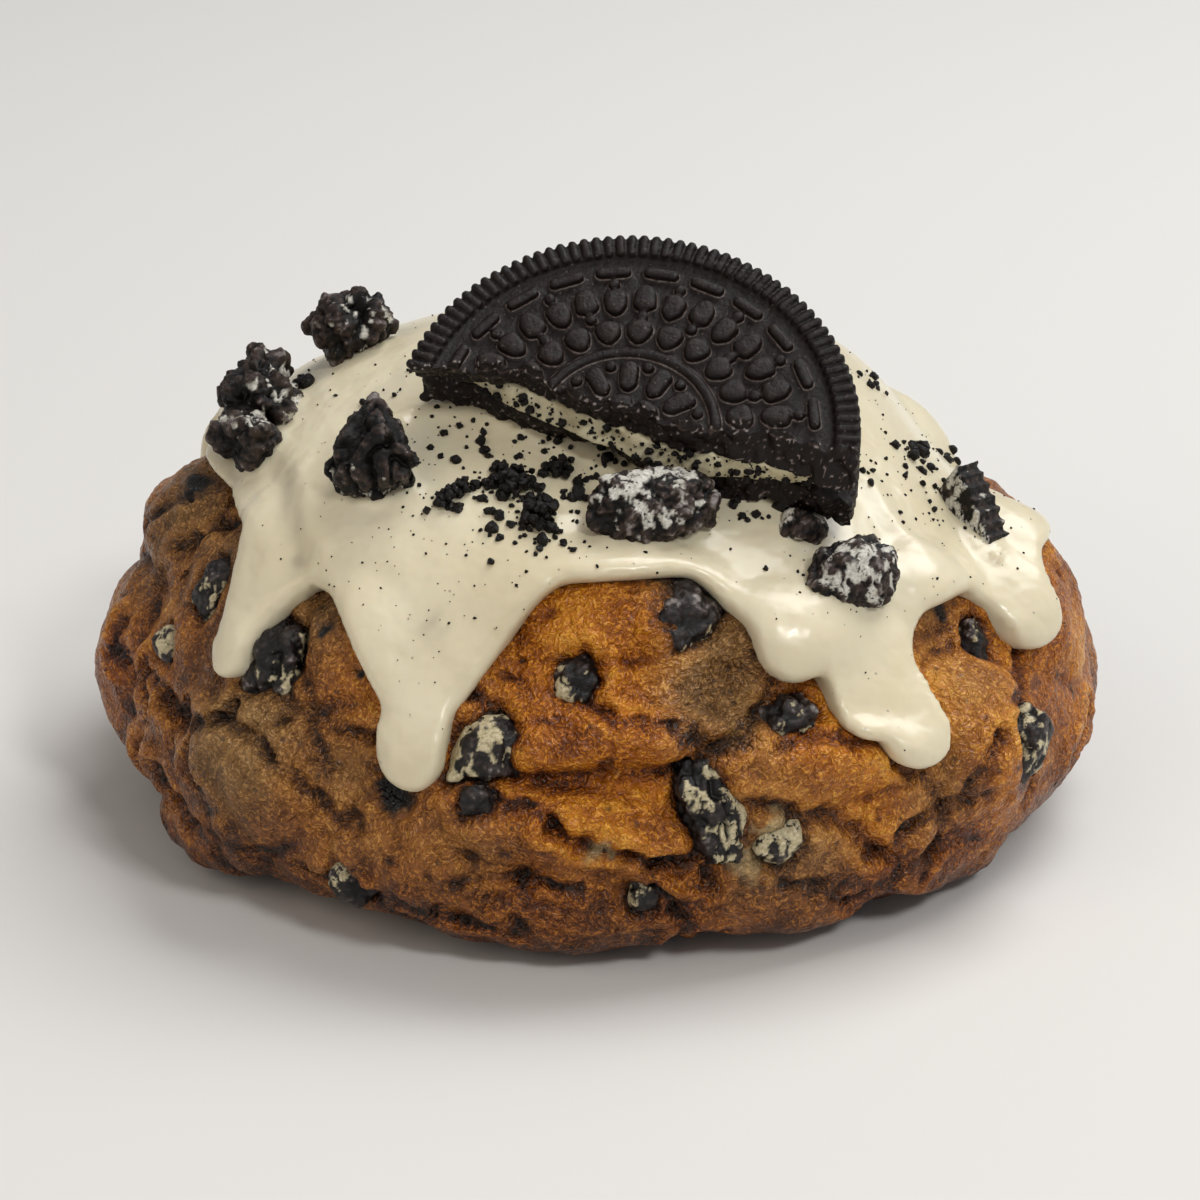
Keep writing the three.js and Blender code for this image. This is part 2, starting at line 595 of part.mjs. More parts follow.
/** A wafer with a ridged rim and a sunk field; its outer face looks along +Z at z = 0. */
function waferSolid(seed, breakAt) {
  const { radius, ridges, ridgeDepth, rimWidth, fieldDrop, waferThickness } = BISCUIT;
  const { breakSteps, breakRoughness: roughness } = BISCUIT;
  const steps = 2 * ridges;
  const shape = halfDiscShape({ radius, steps, breakAt, ridgeDepth, roughness, breakSteps, seed });
  const whole = new THREE.ExtrudeGeometry(shape, { depth: waferThickness, bevelEnabled: false })
    .translate(0, 0, -waferThickness);
  const field = new THREE.CylinderGeometry(radius - rimWidth, radius - rimWidth - 0.4, 2 * fieldDrop, 48)
    .rotateX(Math.PI / 2);
  return solidOf(whole).subtract(solidOf(field));
}

/** The pose of the sandwich: the upper wafer's face at z = 0, the break along X, the rim towards +Y. */
function biscuitMatrix() {
  const { centre, lean, facing, roll } = BISCUIT_POSE;
  const normal = direction(facing, 90 - lean);
  const level = direction(facing + 90, 90);
  const rise = vector().crossVectors(normal, level);
  return new THREE.Matrix4()
    .makeBasis(level, rise, normal)
    .setPosition(...centre)
    .multiply(new THREE.Matrix4().makeRotationZ(radians(BISCUIT_POSE.roll)));
}

const toArray16 = (matrix) => matrix.elements;

function biscuitParts() {
  const { waferThickness, creamThickness, creamRadius, creamShift, radius, breakAt } = BISCUIT;
  const pose = toArray16(biscuitMatrix());
  const upper = waferSolid(3, breakAt.upper).transform(pose);
  const lowerDepth = 2 * waferThickness + creamThickness + 2 * GAP;
  const flip = toArray16(new THREE.Matrix4().makeRotationY(Math.PI).setPosition(0, 0, -lowerDepth));
  const lower = waferSolid(9, breakAt.lower).transform(flip).transform(pose);
  const creamBreak = { breakAt: breakAt.cream, roughness: 0.35, breakSteps: 12, seed: 21 };
  const creamShape = { radius: creamRadius, steps: 26, ...creamBreak };
  const cream = new THREE.ExtrudeGeometry(halfDiscShape(creamShape), {
    depth: creamThickness,
    bevelEnabled: false,
  }).translate(creamShift, 0, -waferThickness - GAP - creamThickness);
  const roomShape = { radius: radius + GAP, steps: 28, breakAt: breakAt.cream - 0.35 - GAP };
  const room = new THREE.ExtrudeGeometry(halfDiscShape(roomShape), {
    depth: lowerDepth + 2 * GAP,
    bevelEnabled: false,
  }).translate(0, 0, -lowerDepth - GAP);
  return { upper, lower, cream: solidOf(cream).transform(pose), room: solidOf(room).transform(pose) };
}

/** A piece of ridged rim that broke off a wafer and stands in the icing with its rim outwards. */
function rimPiece() {
  const { radius, ridges, ridgeDepth, waferThickness } = BISCUIT;
  const { bearing, polar, lift, span, width, turn, lean } = RIM_PIECE;
  const points = [];
  const steps = 2 * Math.round((ridges * span) / 180);
  for (let i = 0; i <= steps; i++) {
    const angle = radians(span * (i / steps - 0.5));
    const r = radius - (i % 2 ? ridgeDepth : 0);
    points.push(new THREE.Vector2(r * Math.cos(angle) - radius, r * Math.sin(angle)));
  }
  const halfLength = radius * Math.sin(radians(span / 2));
  points.push(new THREE.Vector2(-0.8 * width, 0.6 * halfLength));
  points.push(new THREE.Vector2(-width, 0.1 * halfLength));
  points.push(new THREE.Vector2(-0.7 * width, -0.7 * halfLength));
  const shape = new THREE.Shape(points);
  const piece = new THREE.ExtrudeGeometry(shape, { depth: waferThickness, bevelEnabled: false })
    .translate(0, 0, -waferThickness / 2);
  const standing = new THREE.Matrix4().makeBasis(vector(0, -1, 0), vector(0, 0, -1), vector(1, 0, 0));
  const reach = icingReach(bearing, direction(bearing, polar)) + lift;
  const matrix = placeOnDome(bearing, polar, reach, turn)
    .multiply(standing)
    .multiply(new THREE.Matrix4().makeRotationY(radians(lean)));
  return pieceWithRoom(piece, matrix);
}

// ---- Putting the cookie together ----
const cookie = new THREE.Group();

/** Adds one solid to the cookie as a named mesh with its finish. */
function addPiece(name, solid, finish) {
  const { color, roughness } = COLOURS[finish];
  const material = new THREE.MeshStandardMaterial({ color, roughness, metalness: 0 });
  const mesh = new THREE.Mesh(geometryOf(solid), material);
  mesh.name = name;
  cookie.add(mesh);
}

const biscuit = biscuitParts();
const toppings = TOPPING_CHUNKS.map((chunk, i) => ({ name: `topping_chunk_${i + 1}`, ...toppingChunk(chunk) }));
toppings.push({ name: "topping_rim_piece", ...rimPiece() });
toppings.forEach((topping, i) => {
  for (const { room } of [biscuit, ...toppings.slice(0, i)]) topping.solid = topping.solid.subtract(room);
});
const baked = [...DOUGH_CHUNKS, ...farChunks()].map((chunk, i) => ({
  name: `dough_chunk_${String(i + 1).padStart(2, "0")}`,
  ...doughChunk(chunk),
}));

const rooms = [biscuit.room, ...toppings.map((t) => t.room), ...baked.map((b) => b.room)];
const cutRooms = (solid) => rooms.reduce((rest, room) => rest.subtract(room), solid);

let icing = icingCap();
for (const { bearing, polar, size } of CRUMBS) {
  const d = direction(bearing, polar);
  const crumb = chunkGeometry([size, size, size], Math.round(bearing * 7 + 900), 12);
  icing = icing.add(solidOf(crumb, placeOnDome(bearing, polar, icingReach(bearing, d) + size * 0.12, bearing)));
}

addPiece("dough", cutRooms(doughSolid(0)), "dough");
addPiece("icing", cutRooms(icing.subtract(doughSolid(GAP))), "icing");
addPiece("biscuit_upper_wafer", biscuit.upper, "wafer");
addPiece("biscuit_cream", biscuit.cream, "cream");
addPiece("biscuit_lower_wafer", biscuit.lower, "wafer");
for (const { name, solid } of [...toppings, ...baked]) addPiece(name, solid, "chunk");

// The cookie's frame has its origin under the middle of its box, on the surface it rests on.
const box = new THREE.Box3().setFromObject(cookie);
cookie.position.set(-(box.min.x + box.max.x) / 2, -(box.min.y + box.max.y) / 2, -box.min.z);

export default cookie;
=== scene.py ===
"""A cookies and cream cookie: lumpy baked dough with biscuit pieces in it, poured white icing with drips,
half a dark sandwich biscuit leaning on top, broken biscuit pieces and crumbs.

Tables are in millimetres and degrees, Blender's own units are metres. A bearing is seen from above: 0 is the
front (-Y) and 90 is +X. A polar angle is measured down from straight up, about the heart of the dome.
"""
import logging
import math
from contextlib import contextmanager
from dataclasses import dataclass
from enum import Enum
from functools import cached_property, partial
from itertools import product
from typing import Callable, Iterable, Iterator, Sequence

import bpy
import numpy as np
from mathutils import Matrix, Vector
from mathutils.bvhtree import BVHTree
from mathutils.kdtree import KDTree


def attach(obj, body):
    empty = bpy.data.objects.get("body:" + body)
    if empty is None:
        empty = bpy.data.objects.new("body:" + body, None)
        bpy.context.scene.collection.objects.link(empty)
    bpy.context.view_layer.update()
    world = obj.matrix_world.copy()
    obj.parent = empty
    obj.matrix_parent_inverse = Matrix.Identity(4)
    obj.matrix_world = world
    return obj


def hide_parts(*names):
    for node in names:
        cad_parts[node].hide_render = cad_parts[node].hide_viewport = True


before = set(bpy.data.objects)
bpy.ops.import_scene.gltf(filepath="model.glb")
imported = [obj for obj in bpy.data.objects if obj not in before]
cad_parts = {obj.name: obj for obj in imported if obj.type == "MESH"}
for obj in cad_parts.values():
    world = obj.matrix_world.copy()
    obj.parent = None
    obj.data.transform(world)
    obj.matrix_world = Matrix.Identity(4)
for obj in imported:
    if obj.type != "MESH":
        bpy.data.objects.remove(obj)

log = logging.getLogger("cookie")
Array = np.ndarray
Piece = bpy.types.Object
Material = bpy.types.Material
Form = tuple[Array, list[list[int]]]  # vertices and faces
Path = tuple[tuple[float, float], ...]
Stops = tuple[tuple[float, str], ...]  # the places and colours of a colour ramp
MM = 0.001
HEART = np.array([0.063, -0.618, 13.0])  # the middle of the dome at its widest, in millimetres


# ---- Small helpers: numbers ----


def directions(bearing: Array, polar: Array) -> Array:
    """Gives unit directions from the heart.

    Args:
        bearing: Bearings in degrees.
        polar: Polar angles in degrees, of a shape that broadcasts with the bearings.

    Returns:
        The directions, with x, y and z on the last axis.
    """
    b, p = np.broadcast_arrays(np.radians(bearing), np.radians(polar))
    return np.stack([np.sin(p) * np.sin(b), -np.sin(p) * np.cos(b), np.cos(p)], -1)


def smoothstep(low: float, high: float, value: Array) -> Array:
    """Rises smoothly from 0 at low to 1 at high."""
    t = np.clip((value - low) / (high - low), 0, 1)
    return t * t * (3 - 2 * t)


def bump_of(distance: Array, width: float) -> Array:
    """A bell that is 1 at no distance and fades over the width."""
    return np.exp(-((distance / width) ** 2))


def soft_max(a: Array, b: Array, blend: float) -> Array:
    """The larger of two numbers, with a rounded corner where they are nearly equal."""
    h = np.maximum(blend - np.abs(a - b), 0) / blend
    return np.maximum(a, b) + h * h * blend / 4


def turn_between(start: Array, end: Array) -> Array:
    """The turn from one bearing to another, from -180 to 180."""
    return (end - start + 180) % 360 - 180


def table(kind: type, *values: tuple) -> list:
    """One object of a kind for each row of values."""
    return [kind(*row) for row in values]


def random_stream(seed: int) -> Iterator[float]:
    """A repeatable stream of numbers from 0 to 1, the same one that placed the far lobes of the solid.

    Args:
        seed: What the stream starts from.

    Yields:
        The next number.
    """
    mask = 0xFFFFFFFF
    state = seed & mask
    while True:
        state = (state + 0x6D2B79F5) & mask
        t = ((state ^ (state >> 15)) * (1 | state)) & mask
        t = ((t + (t ^ (t >> 7)) * (61 | t)) & mask) ^ t
        yield ((t ^ (t >> 14)) & mask) / 4294967296


class Noise:
    """Seeded noise over points in millimetres."""

    def __init__(self, seed: int) -> None:
        """Draws the tables.

        Args:
            seed: The seed of this noise.
        """
        rng = np.random.default_rng(seed)
        order = rng.permutation(256)
        self.order = np.concatenate([order, order])
        slopes = rng.normal(size=(256, 3))
        self.slopes = slopes / np.linalg.norm(slopes, axis=1, keepdims=True)
        self.jitter = rng.random((256, 3))

    def _hash(self, cell: Array) -> Array:
        """A number from 0 to 255 for each cell."""
        c = cell & 255
        return self.order[self.order[self.order[c[:, 0]] + c[:, 1]] + c[:, 2]]

    def waves(self, points: Array, size: float, octaves: int = 1) -> Array:
        """Smooth noise, from about -1 to 1.

        Args:
            points: Points in millimetres.
            size: The size of its largest features.
            octaves: How many times it is repeated at half the size.

        Returns:
            A number for each point.
        """
        flat = points.reshape(-1, 3)
        total = np.zeros(len(flat))
        for octave in range(octaves):
            p = flat * (2**octave / size) + 17.3 * octave
            cell = np.floor(p).astype(int)
            f = p - cell
            fade = f**3 * (f * (f * 6 - 15) + 10)
            for corner in product((0, 1), repeat=3):
                c = np.array(corner)
                slope = self.slopes[self._hash(cell + c)]
                share = np.prod(np.where(c, fade, 1 - fade), axis=1)
                total += 1.7 * share * ((f - c) * slope).sum(1) / 2**octave
        return total.reshape(points.shape[:-1])

    def pebbles(self, points: Array, size: float) -> Array:
        """Rounded pebbles with creases between them: about 1 in a pebble's middle and 0 in a crease.

        Args:
            points: Where it is wanted.
            size: A pebble's size.

        Returns:
            The value at each point.
        """
        flat = points.reshape(-1, 3) / size
        cell = np.floor(flat).astype(int)
        f = flat - cell
        nearest = np.full(len(flat), 9.0)
        for shift in product((-1, 0, 1), repeat=3):
            away = np.array(shift) + self.jitter[self._hash(cell + np.array(shift))] - f
            nearest = np.minimum(nearest, (away**2).sum(1))
        return (1 - np.minimum(nearest, 1)).reshape(points.shape[:-1])

    def shift(self, points: Array, size: float, amount: float) -> Array:
        """Points moved about by the noise, so that straight lines become uneven."""
        moves = [self.waves(points + offset, size) for offset in (0.0, 31.7, 73.1)]
        return points + amount * np.stack(moves, -1)


def path_distance(points: Array, path: Array) -> Array:
    """The distance from each point to a path.

    Args:
        points: Points in millimetres.
        path: The path's corners, in order.

    Returns:
        The distances.
    """
    nearest = np.full(points.shape[:-1], np.inf)
    for start, end in zip(path[:-1], path[1:]):
        along = end - start
        share = np.clip(((points - start) @ along) / (along @ along), 0, 1)
        away = points - start - share[..., None] * along
        nearest = np.minimum(nearest, np.sqrt((away**2).sum(-1)))
    return nearest


# ---- Small helpers: Blender objects ----


def select_only(*pieces: Piece) -> None:
    """Selects these pieces and nothing else; the first is the active one.

    Args:
        pieces: The pieces to select.
    """
    for other in list(bpy.context.selected_objects):
        other.select_set(False)
    for piece in pieces:
        piece.select_set(True)
    bpy.context.view_layer.objects.active = pieces[0]


def places_of(piece: Piece) -> Array:
    """The places of a mesh's vertices.

    Args:
        piece: The piece.

    Returns:
        One row of x, y and z for each vertex.
    """
    places = np.empty(len(piece.data.vertices) * 3)
    piece.data.vertices.foreach_get("co", places)
    return places.reshape(-1, 3)


def normals_of(piece: Piece) -> Array:
    """The directions that a mesh's vertices face.

    Args:
        piece: The piece.

    Returns:
        One unit row for each vertex.
    """
    normals = np.empty(len(piece.data.vertices) * 3)
    piece.data.vertices.foreach_get("normal", normals)
    return normals.reshape(-1, 3)


def move_to(piece: Piece, places: Array) -> None:
    """Moves a mesh's vertices to new places."""
    piece.data.vertices.foreach_set("co", places.ravel())
    piece.data.update()


def paint(piece: Piece, name: str, values: Array) -> None:
    """Stores a number from 0 to 1 for each vertex, which the piece's material reads by name."""
    layer = piece.data.attributes.get(name) or piece.data.attributes.new(name, "FLOAT", "POINT")
    layer.data.foreach_set("value", np.clip(values, 0, 1).astype(np.float32).ravel())


@contextmanager
def editing(piece: Piece, select: bool = True) -> Iterator[None]:
    """Edits one piece, with all of its mesh selected or with the selection that it has.

    Args:
        piece: The piece.
        select: Whether all of its mesh is selected first.

    Yields:
        Nothing; the piece is in edit mode meanwhile.
    """
    select_only(piece)
    bpy.ops.object.mode_set(mode="EDIT")
    if select:
        bpy.ops.mesh.select_all(action="SELECT")
    yield
    bpy.ops.object.mode_set(mode="OBJECT")


def apply_place(piece: Piece) -> None:
    """Takes an object's place, turn and scale into its mesh."""
    select_only(piece)
    bpy.ops.object.transform_apply(location=True, rotation=True, scale=True)


def form_of(piece: Piece) -> Form:
    """Takes the form of a piece that is then removed.

    Args:
        piece: The piece.

    Returns:
        Its vertices and faces.
    """
    form = places_of(piece), [list(p.vertices) for p in piece.data.polygons]
    bpy.data.objects.remove(piece)
    return form


def apply_modifier(piece: Piece, kind: str, **settings: object) -> None:
    """Adds a modifier to a piece and applies it.

    Args:
        piece: The piece.
        kind: Blender's name for the kind of modifier.
        settings: The modifier's settings.
    """
    select_only(piece)
    modifier = piece.modifiers.new(kind.title(), kind)
    for name, value in settings.items():
        setattr(modifier, name, value)
    bpy.ops.object.modifier_apply(modifier=modifier.name)


def remesh(piece: Piece, voxel: float, rounds: int) -> None:
    """Rebuilds a piece as one even skin and softens it.

    Args:
        piece: A piece of one or more closed forms.
        voxel: The spacing of the new skin.
        rounds: How often the skin is smoothed.
    """
    apply_modifier(piece, "REMESH", mode="VOXEL", voxel_size=voxel, use_smooth_shade=True)
    if rounds:
        apply_modifier(piece, "SMOOTH", factor=0.5, iterations=rounds)


def mesh_piece(name: str, places: Array, faces: Sequence[Sequence[int]]) -> Piece:
    """A new object from vertices and faces.

    Args:
        name: The object's name.
        places: One row for each vertex.
        faces: The vertices of each face.

    Returns:
        The object, already in the scene.
    """
    mesh = bpy.data.meshes.new(name)
    mesh.from_pydata(places.tolist(), [], [list(map(int, face)) for face in faces])
    piece = bpy.data.objects.new(name, mesh)
    bpy.context.scene.collection.objects.link(piece)
    return piece


def copy_of_node(node: str) -> Piece:
    """A merged copy of a CAD node's mesh, in millimetres.

    Args:
        node: The node's name.

    Returns:
        The new object.
    """
    piece = bpy.data.objects.new(node + "_form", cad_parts[node].data.copy())
    bpy.context.scene.collection.objects.link(piece)
    piece.data.transform(Matrix.Scale(1 / MM, 4))
    piece.data.materials.clear()
    with editing(piece):
        bpy.ops.mesh.remove_doubles(threshold=0.002)
    return piece


def tree_of(piece: Piece, scale: float = 1.0) -> BVHTree:
    """A search tree over a mesh's faces, in units of this scale."""
    mesh = piece.data
    return BVHTree.FromPolygons([v.co / scale for v in mesh.vertices], [p.vertices for p in mesh.polygons])


def near_box(points: Array, low: Array, high: Array, margin: float) -> Array:
    """The numbers of the points that lie in a box or within a margin of it."""
    return np.flatnonzero(((points > low - margin) & (points < high + margin)).all(1))


def distances_to(tree: BVHTree, points: Array, reach: float) -> Array:
    """How far points lie outside a closed mesh.

    Args:
        tree: The search tree of the mesh.
        points: Points.
        reach: How far to look.

    Returns:
        The distances, negative inside the mesh, and the reach where nothing is near.
    """
    found = np.full(len(points), reach, float)
    for i, point in enumerate(points):
        place, normal, _, away = tree.find_nearest(Vector(point), reach)
        if place is not None:
            found[i] = math.copysign(away, (Vector(point) - place).dot(normal))
    return found


def finish_piece(
    piece: Piece,
    name: str,
    slot: str,
    material: Material,
    nodes: Iterable[str] = (),
    scale: float = MM,
) -> Piece:
    """Scales a piece into place, dresses it and hands it to the frame.

    Args:
        piece: The piece, with its place in its mesh.
        name: Its name.
        slot: The name of a material slot; not used.
        material: Its finish.
        nodes: The CAD nodes that it stands for.
        scale: What turns its mesh's units into metres.

    Returns:
        The piece.
    """
    piece.name = piece.data.name = name
    piece.data.transform(Matrix.Scale(scale, 4))
    piece.data.materials.clear()
    piece.data.materials.append(material)
    piece.data.polygons.foreach_set("use_smooth", [True] * len(piece.data.polygons))
    piece.data.update()
    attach(piece, "root")
    if nodes:
        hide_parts(*nodes)
    triangles = sum(len(p.vertices) - 2 for p in piece.data.polygons)
    log.info("%s: %d triangles", name, triangles)
    return piece


# ---- Finishes ----

Socket = bpy.types.NodeSocket


def linear(colour: str) -> tuple[float, float, float, float]:
    """Turns an sRGB hex colour into a linear one.

    Args:
        colour: The colour, as # and six digits.

    Returns:
        Red, green, blue and full opacity.
    """
    parts = [int(colour[i : i + 2], 16) / 255 for i in (1, 3, 5)]
    r, g, b = (p / 12.92 if p <= 0.04045 else ((p + 0.055) / 1.055) ** 2.4 for p in parts)
    return (r, g, b, 1.0)


def add_node(tree: bpy.types.NodeTree, kind: str, output: str | int = 0, **values: object) -> Socket:
    """Adds a node to a tree.

    Args:
        tree: The material's node tree.
        kind: Blender's name for the kind of node, without "ShaderNode".
        output: The output that is wanted of it.
        values: In small letters the node's own settings, with "stops" for a ramp's places and colours. For
            inputs, by name with underscores for spaces or by number, a value or the output that feeds it.

    Returns:
        The wanted output.
    """
    node = tree.nodes.new("ShaderNode" + kind)
    for name, value in values.items():
        if name == "stops":
            elements = node.color_ramp.elements
            while len(elements) < len(value):
                elements.new(1.0)
            for element, (place, colour) in zip(elements, value):
                element.position, element.color = place, linear(colour)
        elif name[0].islower():
            setattr(node, name, value)
        else:
            socket = node.inputs[int(name[1:]) if name[0] == "_" else name.replace("_", " ")]
            if isinstance(value, Socket):
                tree.links.new(value, socket)
            else:
                socket.default_value = linear(value) if isinstance(value, str) else value
    return node.outputs[output]


@dataclass(frozen=True)
class Finish:
    """A finish on a Principled shader, with values that are the same all over."""

    name: str
    roughness: float = 0.5
    specular: float = 0.5
    coat: float = 0.0
    coat_roughness: float = 0.1
    subsurface: float = 0.0
    subsurface_scale: float = 0.001

    def make(self) -> Material:
        """Makes the material.

        Returns:
            The material.
        """
        material = bpy.data.materials.new(self.name)
        material.use_nodes = True
        tree = material.node_tree
        shader = tree.nodes["Principled BSDF"]
        even = {
            "Roughness": self.roughness,
            "Specular IOR Level": self.specular,
            "Coat Weight": self.coat,
            "Coat Roughness": self.coat_roughness,
            "Subsurface Weight": self.subsurface,
            "Subsurface Radius": (1.0, 0.6, 0.3),
            "Subsurface Scale": self.subsurface_scale,
        }
        for name, value in even.items():
            shader.inputs[name].default_value = value
        add = partial(add_node, tree)
        for name, output in self.pattern(add, add("TexCoord", "Object")).items():
            tree.links.new(output, shader.inputs[name])
        return material

    def pattern(self, add: Callable[..., Socket], place: Socket) -> dict[str, Socket]:
        """The finish's own nodes.

        Args:
            add: Adds a node and gives its output.
            place: The object's coordinates.

        Returns:
            What feeds the shader's inputs, by their names.
        """
        raise NotImplementedError


def painted(add: Callable[..., Socket], *names: str) -> list[Socket]:
    """The numbers that a mesh has painted on it under these names."""
    return [add("Attribute", "Fac", attribute_name=name) for name in names]


@dataclass(frozen=True)
class BakedDough(Finish):
    """Baked cookie dough: a buttery, finely fibrous crust, golden on its rises, with painted shade in its
    creases.

    The mesh paints tone, with painted light on rises and painted shade in hollows, and grey, cocoa and cream
    on it.
    """

    name: str = "baked_dough"
    roughness: float = 0.36
    specular: float = 0.22
    coat: float = 0.32
    coat_roughness: float = 0.13
    subsurface: float = 0.05
    subsurface_scale: float = 0.0015
    golden: Stops = (
        (0.0, "#170802"), (0.25, "#552303"), (0.5, "#96500c"), (0.72, "#c27516"), (1.0, "#e3a136"),
    )
    greyish: Stops = ((0.0, "#1c1007"), (0.3, "#503316"), (0.6, "#8a6232"), (1.0, "#bd945c"))
    cocoa_dust: str = "#1d0f07"
    cream_tint: str = "#c2ae80"
    cocoa_tint: str = "#0f0b0a"
    relief: float = 0.75  # height of the fibres and pores

    def pattern(self, add: Callable[..., Socket], place: Socket) -> dict[str, Socket]:
        """The crust's pattern.

        Args:
            add: Adds a node and gives its output.
            place: The object's coordinates.

        Returns:
            What feeds the shader's inputs, by their names.
        """
        tone, grey, cocoa, cream = painted(add, "tone", "grey", "cocoa", "cream")
        # Patches of browning 4 mm across, and crumb grain 0.8 mm across, which shift the painted tone.
        patches = add("TexNoise", Vector=place, Scale=250.0, Detail=5.0, Roughness=0.6)
        grain = add("TexNoise", Vector=place, Scale=1250.0, Detail=4.0, Distortion=1.8)
        shift = add("Math", operation="MULTIPLY_ADD", _0=patches, _1=0.5, _2=tone)
        shift = add("Math", operation="MULTIPLY_ADD", _0=grain, _1=0.6, _2=shift)
        shift = add("Math", operation="SUBTRACT", _0=shift, _1=0.62)
        # The crust's buttery fibres, 0.9 mm apart, with paler threads that wind over it: painted glints of
        # their shine.
        fibres = add("TexNoise", Vector=place, Scale=1100.0, Detail=1.5, Roughness=0.5, Distortion=1.6)
        glint_thread = add("Math", operation="SUBTRACT", _0=fibres, _1=0.56)
        glint_thread = add("Math", operation="ABSOLUTE", _0=glint_thread)
        glint_thread = add("MapRange", Value=glint_thread, From_Min=0.055, From_Max=0.012, To_Max=0.3)
        shift = add("Math", operation="ADD", _0=shift, _1=glint_thread)
        warm = add("ValToRGB", stops=self.golden, Fac=shift)
        dull = add("ValToRGB", stops=self.greyish, Fac=shift)
        colour = add("MixRGB", Fac=grey, Color1=warm, Color2=dull)
        # Cocoa dust baked into the crust: specks about 0.3 mm across, one every 3 mm or so.
        specks = add("TexVoronoi", Vector=place, Scale=420.0)
        speck = add("MapRange", Value=specks, From_Min=0.16, From_Max=0.08, To_Max=0.6)
        for share, tint in ((speck, self.cocoa_dust), (cream, self.cream_tint), (cocoa, self.cocoa_tint)):
            colour = add("MixRGB", Fac=share, Color1=colour, Color2=tint)
        # The fibres stand up and catch the light, over pores 1.5 mm across.
        pores = add("TexNoise", Vector=place, Scale=650.0, Detail=3.0, Distortion=1.2)
        height = add("Math", operation="MULTIPLY_ADD", _0=pores, _1=1.2, _2=fibres)
        relief = add("Bump", Strength=1.0, Distance=self.relief * MM, Height=height)
        # Grey crust is drier than golden crust.
        rough = add("MapRange", Value=grey, From_Min=0.2, From_Max=0.9, To_Min=0.34, To_Max=0.5)
        return {"Base Color": colour, "Normal": relief, "Coat Normal": relief, "Roughness": rough}


@dataclass(frozen=True)
class PouredIcing(Finish):
    """White chocolate icing: smooth, glossy and a little translucent, ivory in colour.

    The mesh paints thin, where the icing lies thinly or over crumbs.
    """

    name: str = "poured_white_icing"
    roughness: float = 0.3
    coat: float = 0.2
    coat_roughness: float = 0.08
    subsurface: float = 0.15
    subsurface_scale: float = 0.002
    ivory: Stops = ((0.3, "#dacdac"), (0.7, "#e5dbbe"))
    thin_tint: str = "#857c6e"
    dust_tint: str = "#4a3524"

    def pattern(self, add: Callable[..., Socket], place: Socket) -> dict[str, Socket]:
        """The icing's pattern.

        Args:
            add: Adds a node and gives its output.
            place: The object's coordinates.

        Returns:
            What feeds the shader's inputs, by their names.
        """
        (thin,) = painted(add, "thin")
        # Slow changes of tint over 15 mm, warmer and cooler.
        cloud = add("TexNoise", Vector=place, Scale=65.0, Detail=2.0)
        tint = add("ValToRGB", stops=self.ivory, Fac=cloud)
        # Fine cocoa dust stirred into it: specks of 0.15 mm, drawn 0.2 mm wide so that they show.
        dust = add("TexVoronoi", Vector=place, Scale=520.0)
        fleck = add("MapRange", Value=dust, From_Min=0.09, From_Max=0.05, To_Max=0.45)
        colour = add("MixRGB", Fac=thin, Color1=tint, Color2=self.thin_tint)
        colour = add("MixRGB", Fac=fleck, Color1=colour, Color2=self.dust_tint)
        # Slight unevenness of the set skin, 4 mm across, which breaks up its highlights.
        skin = add("TexNoise", Vector=place, Scale=250.0, Detail=2.0)
        relief = add("Bump", Strength=0.5, Distance=0.001, Height=skin)
        return {"Base Color": colour, "Normal": relief}


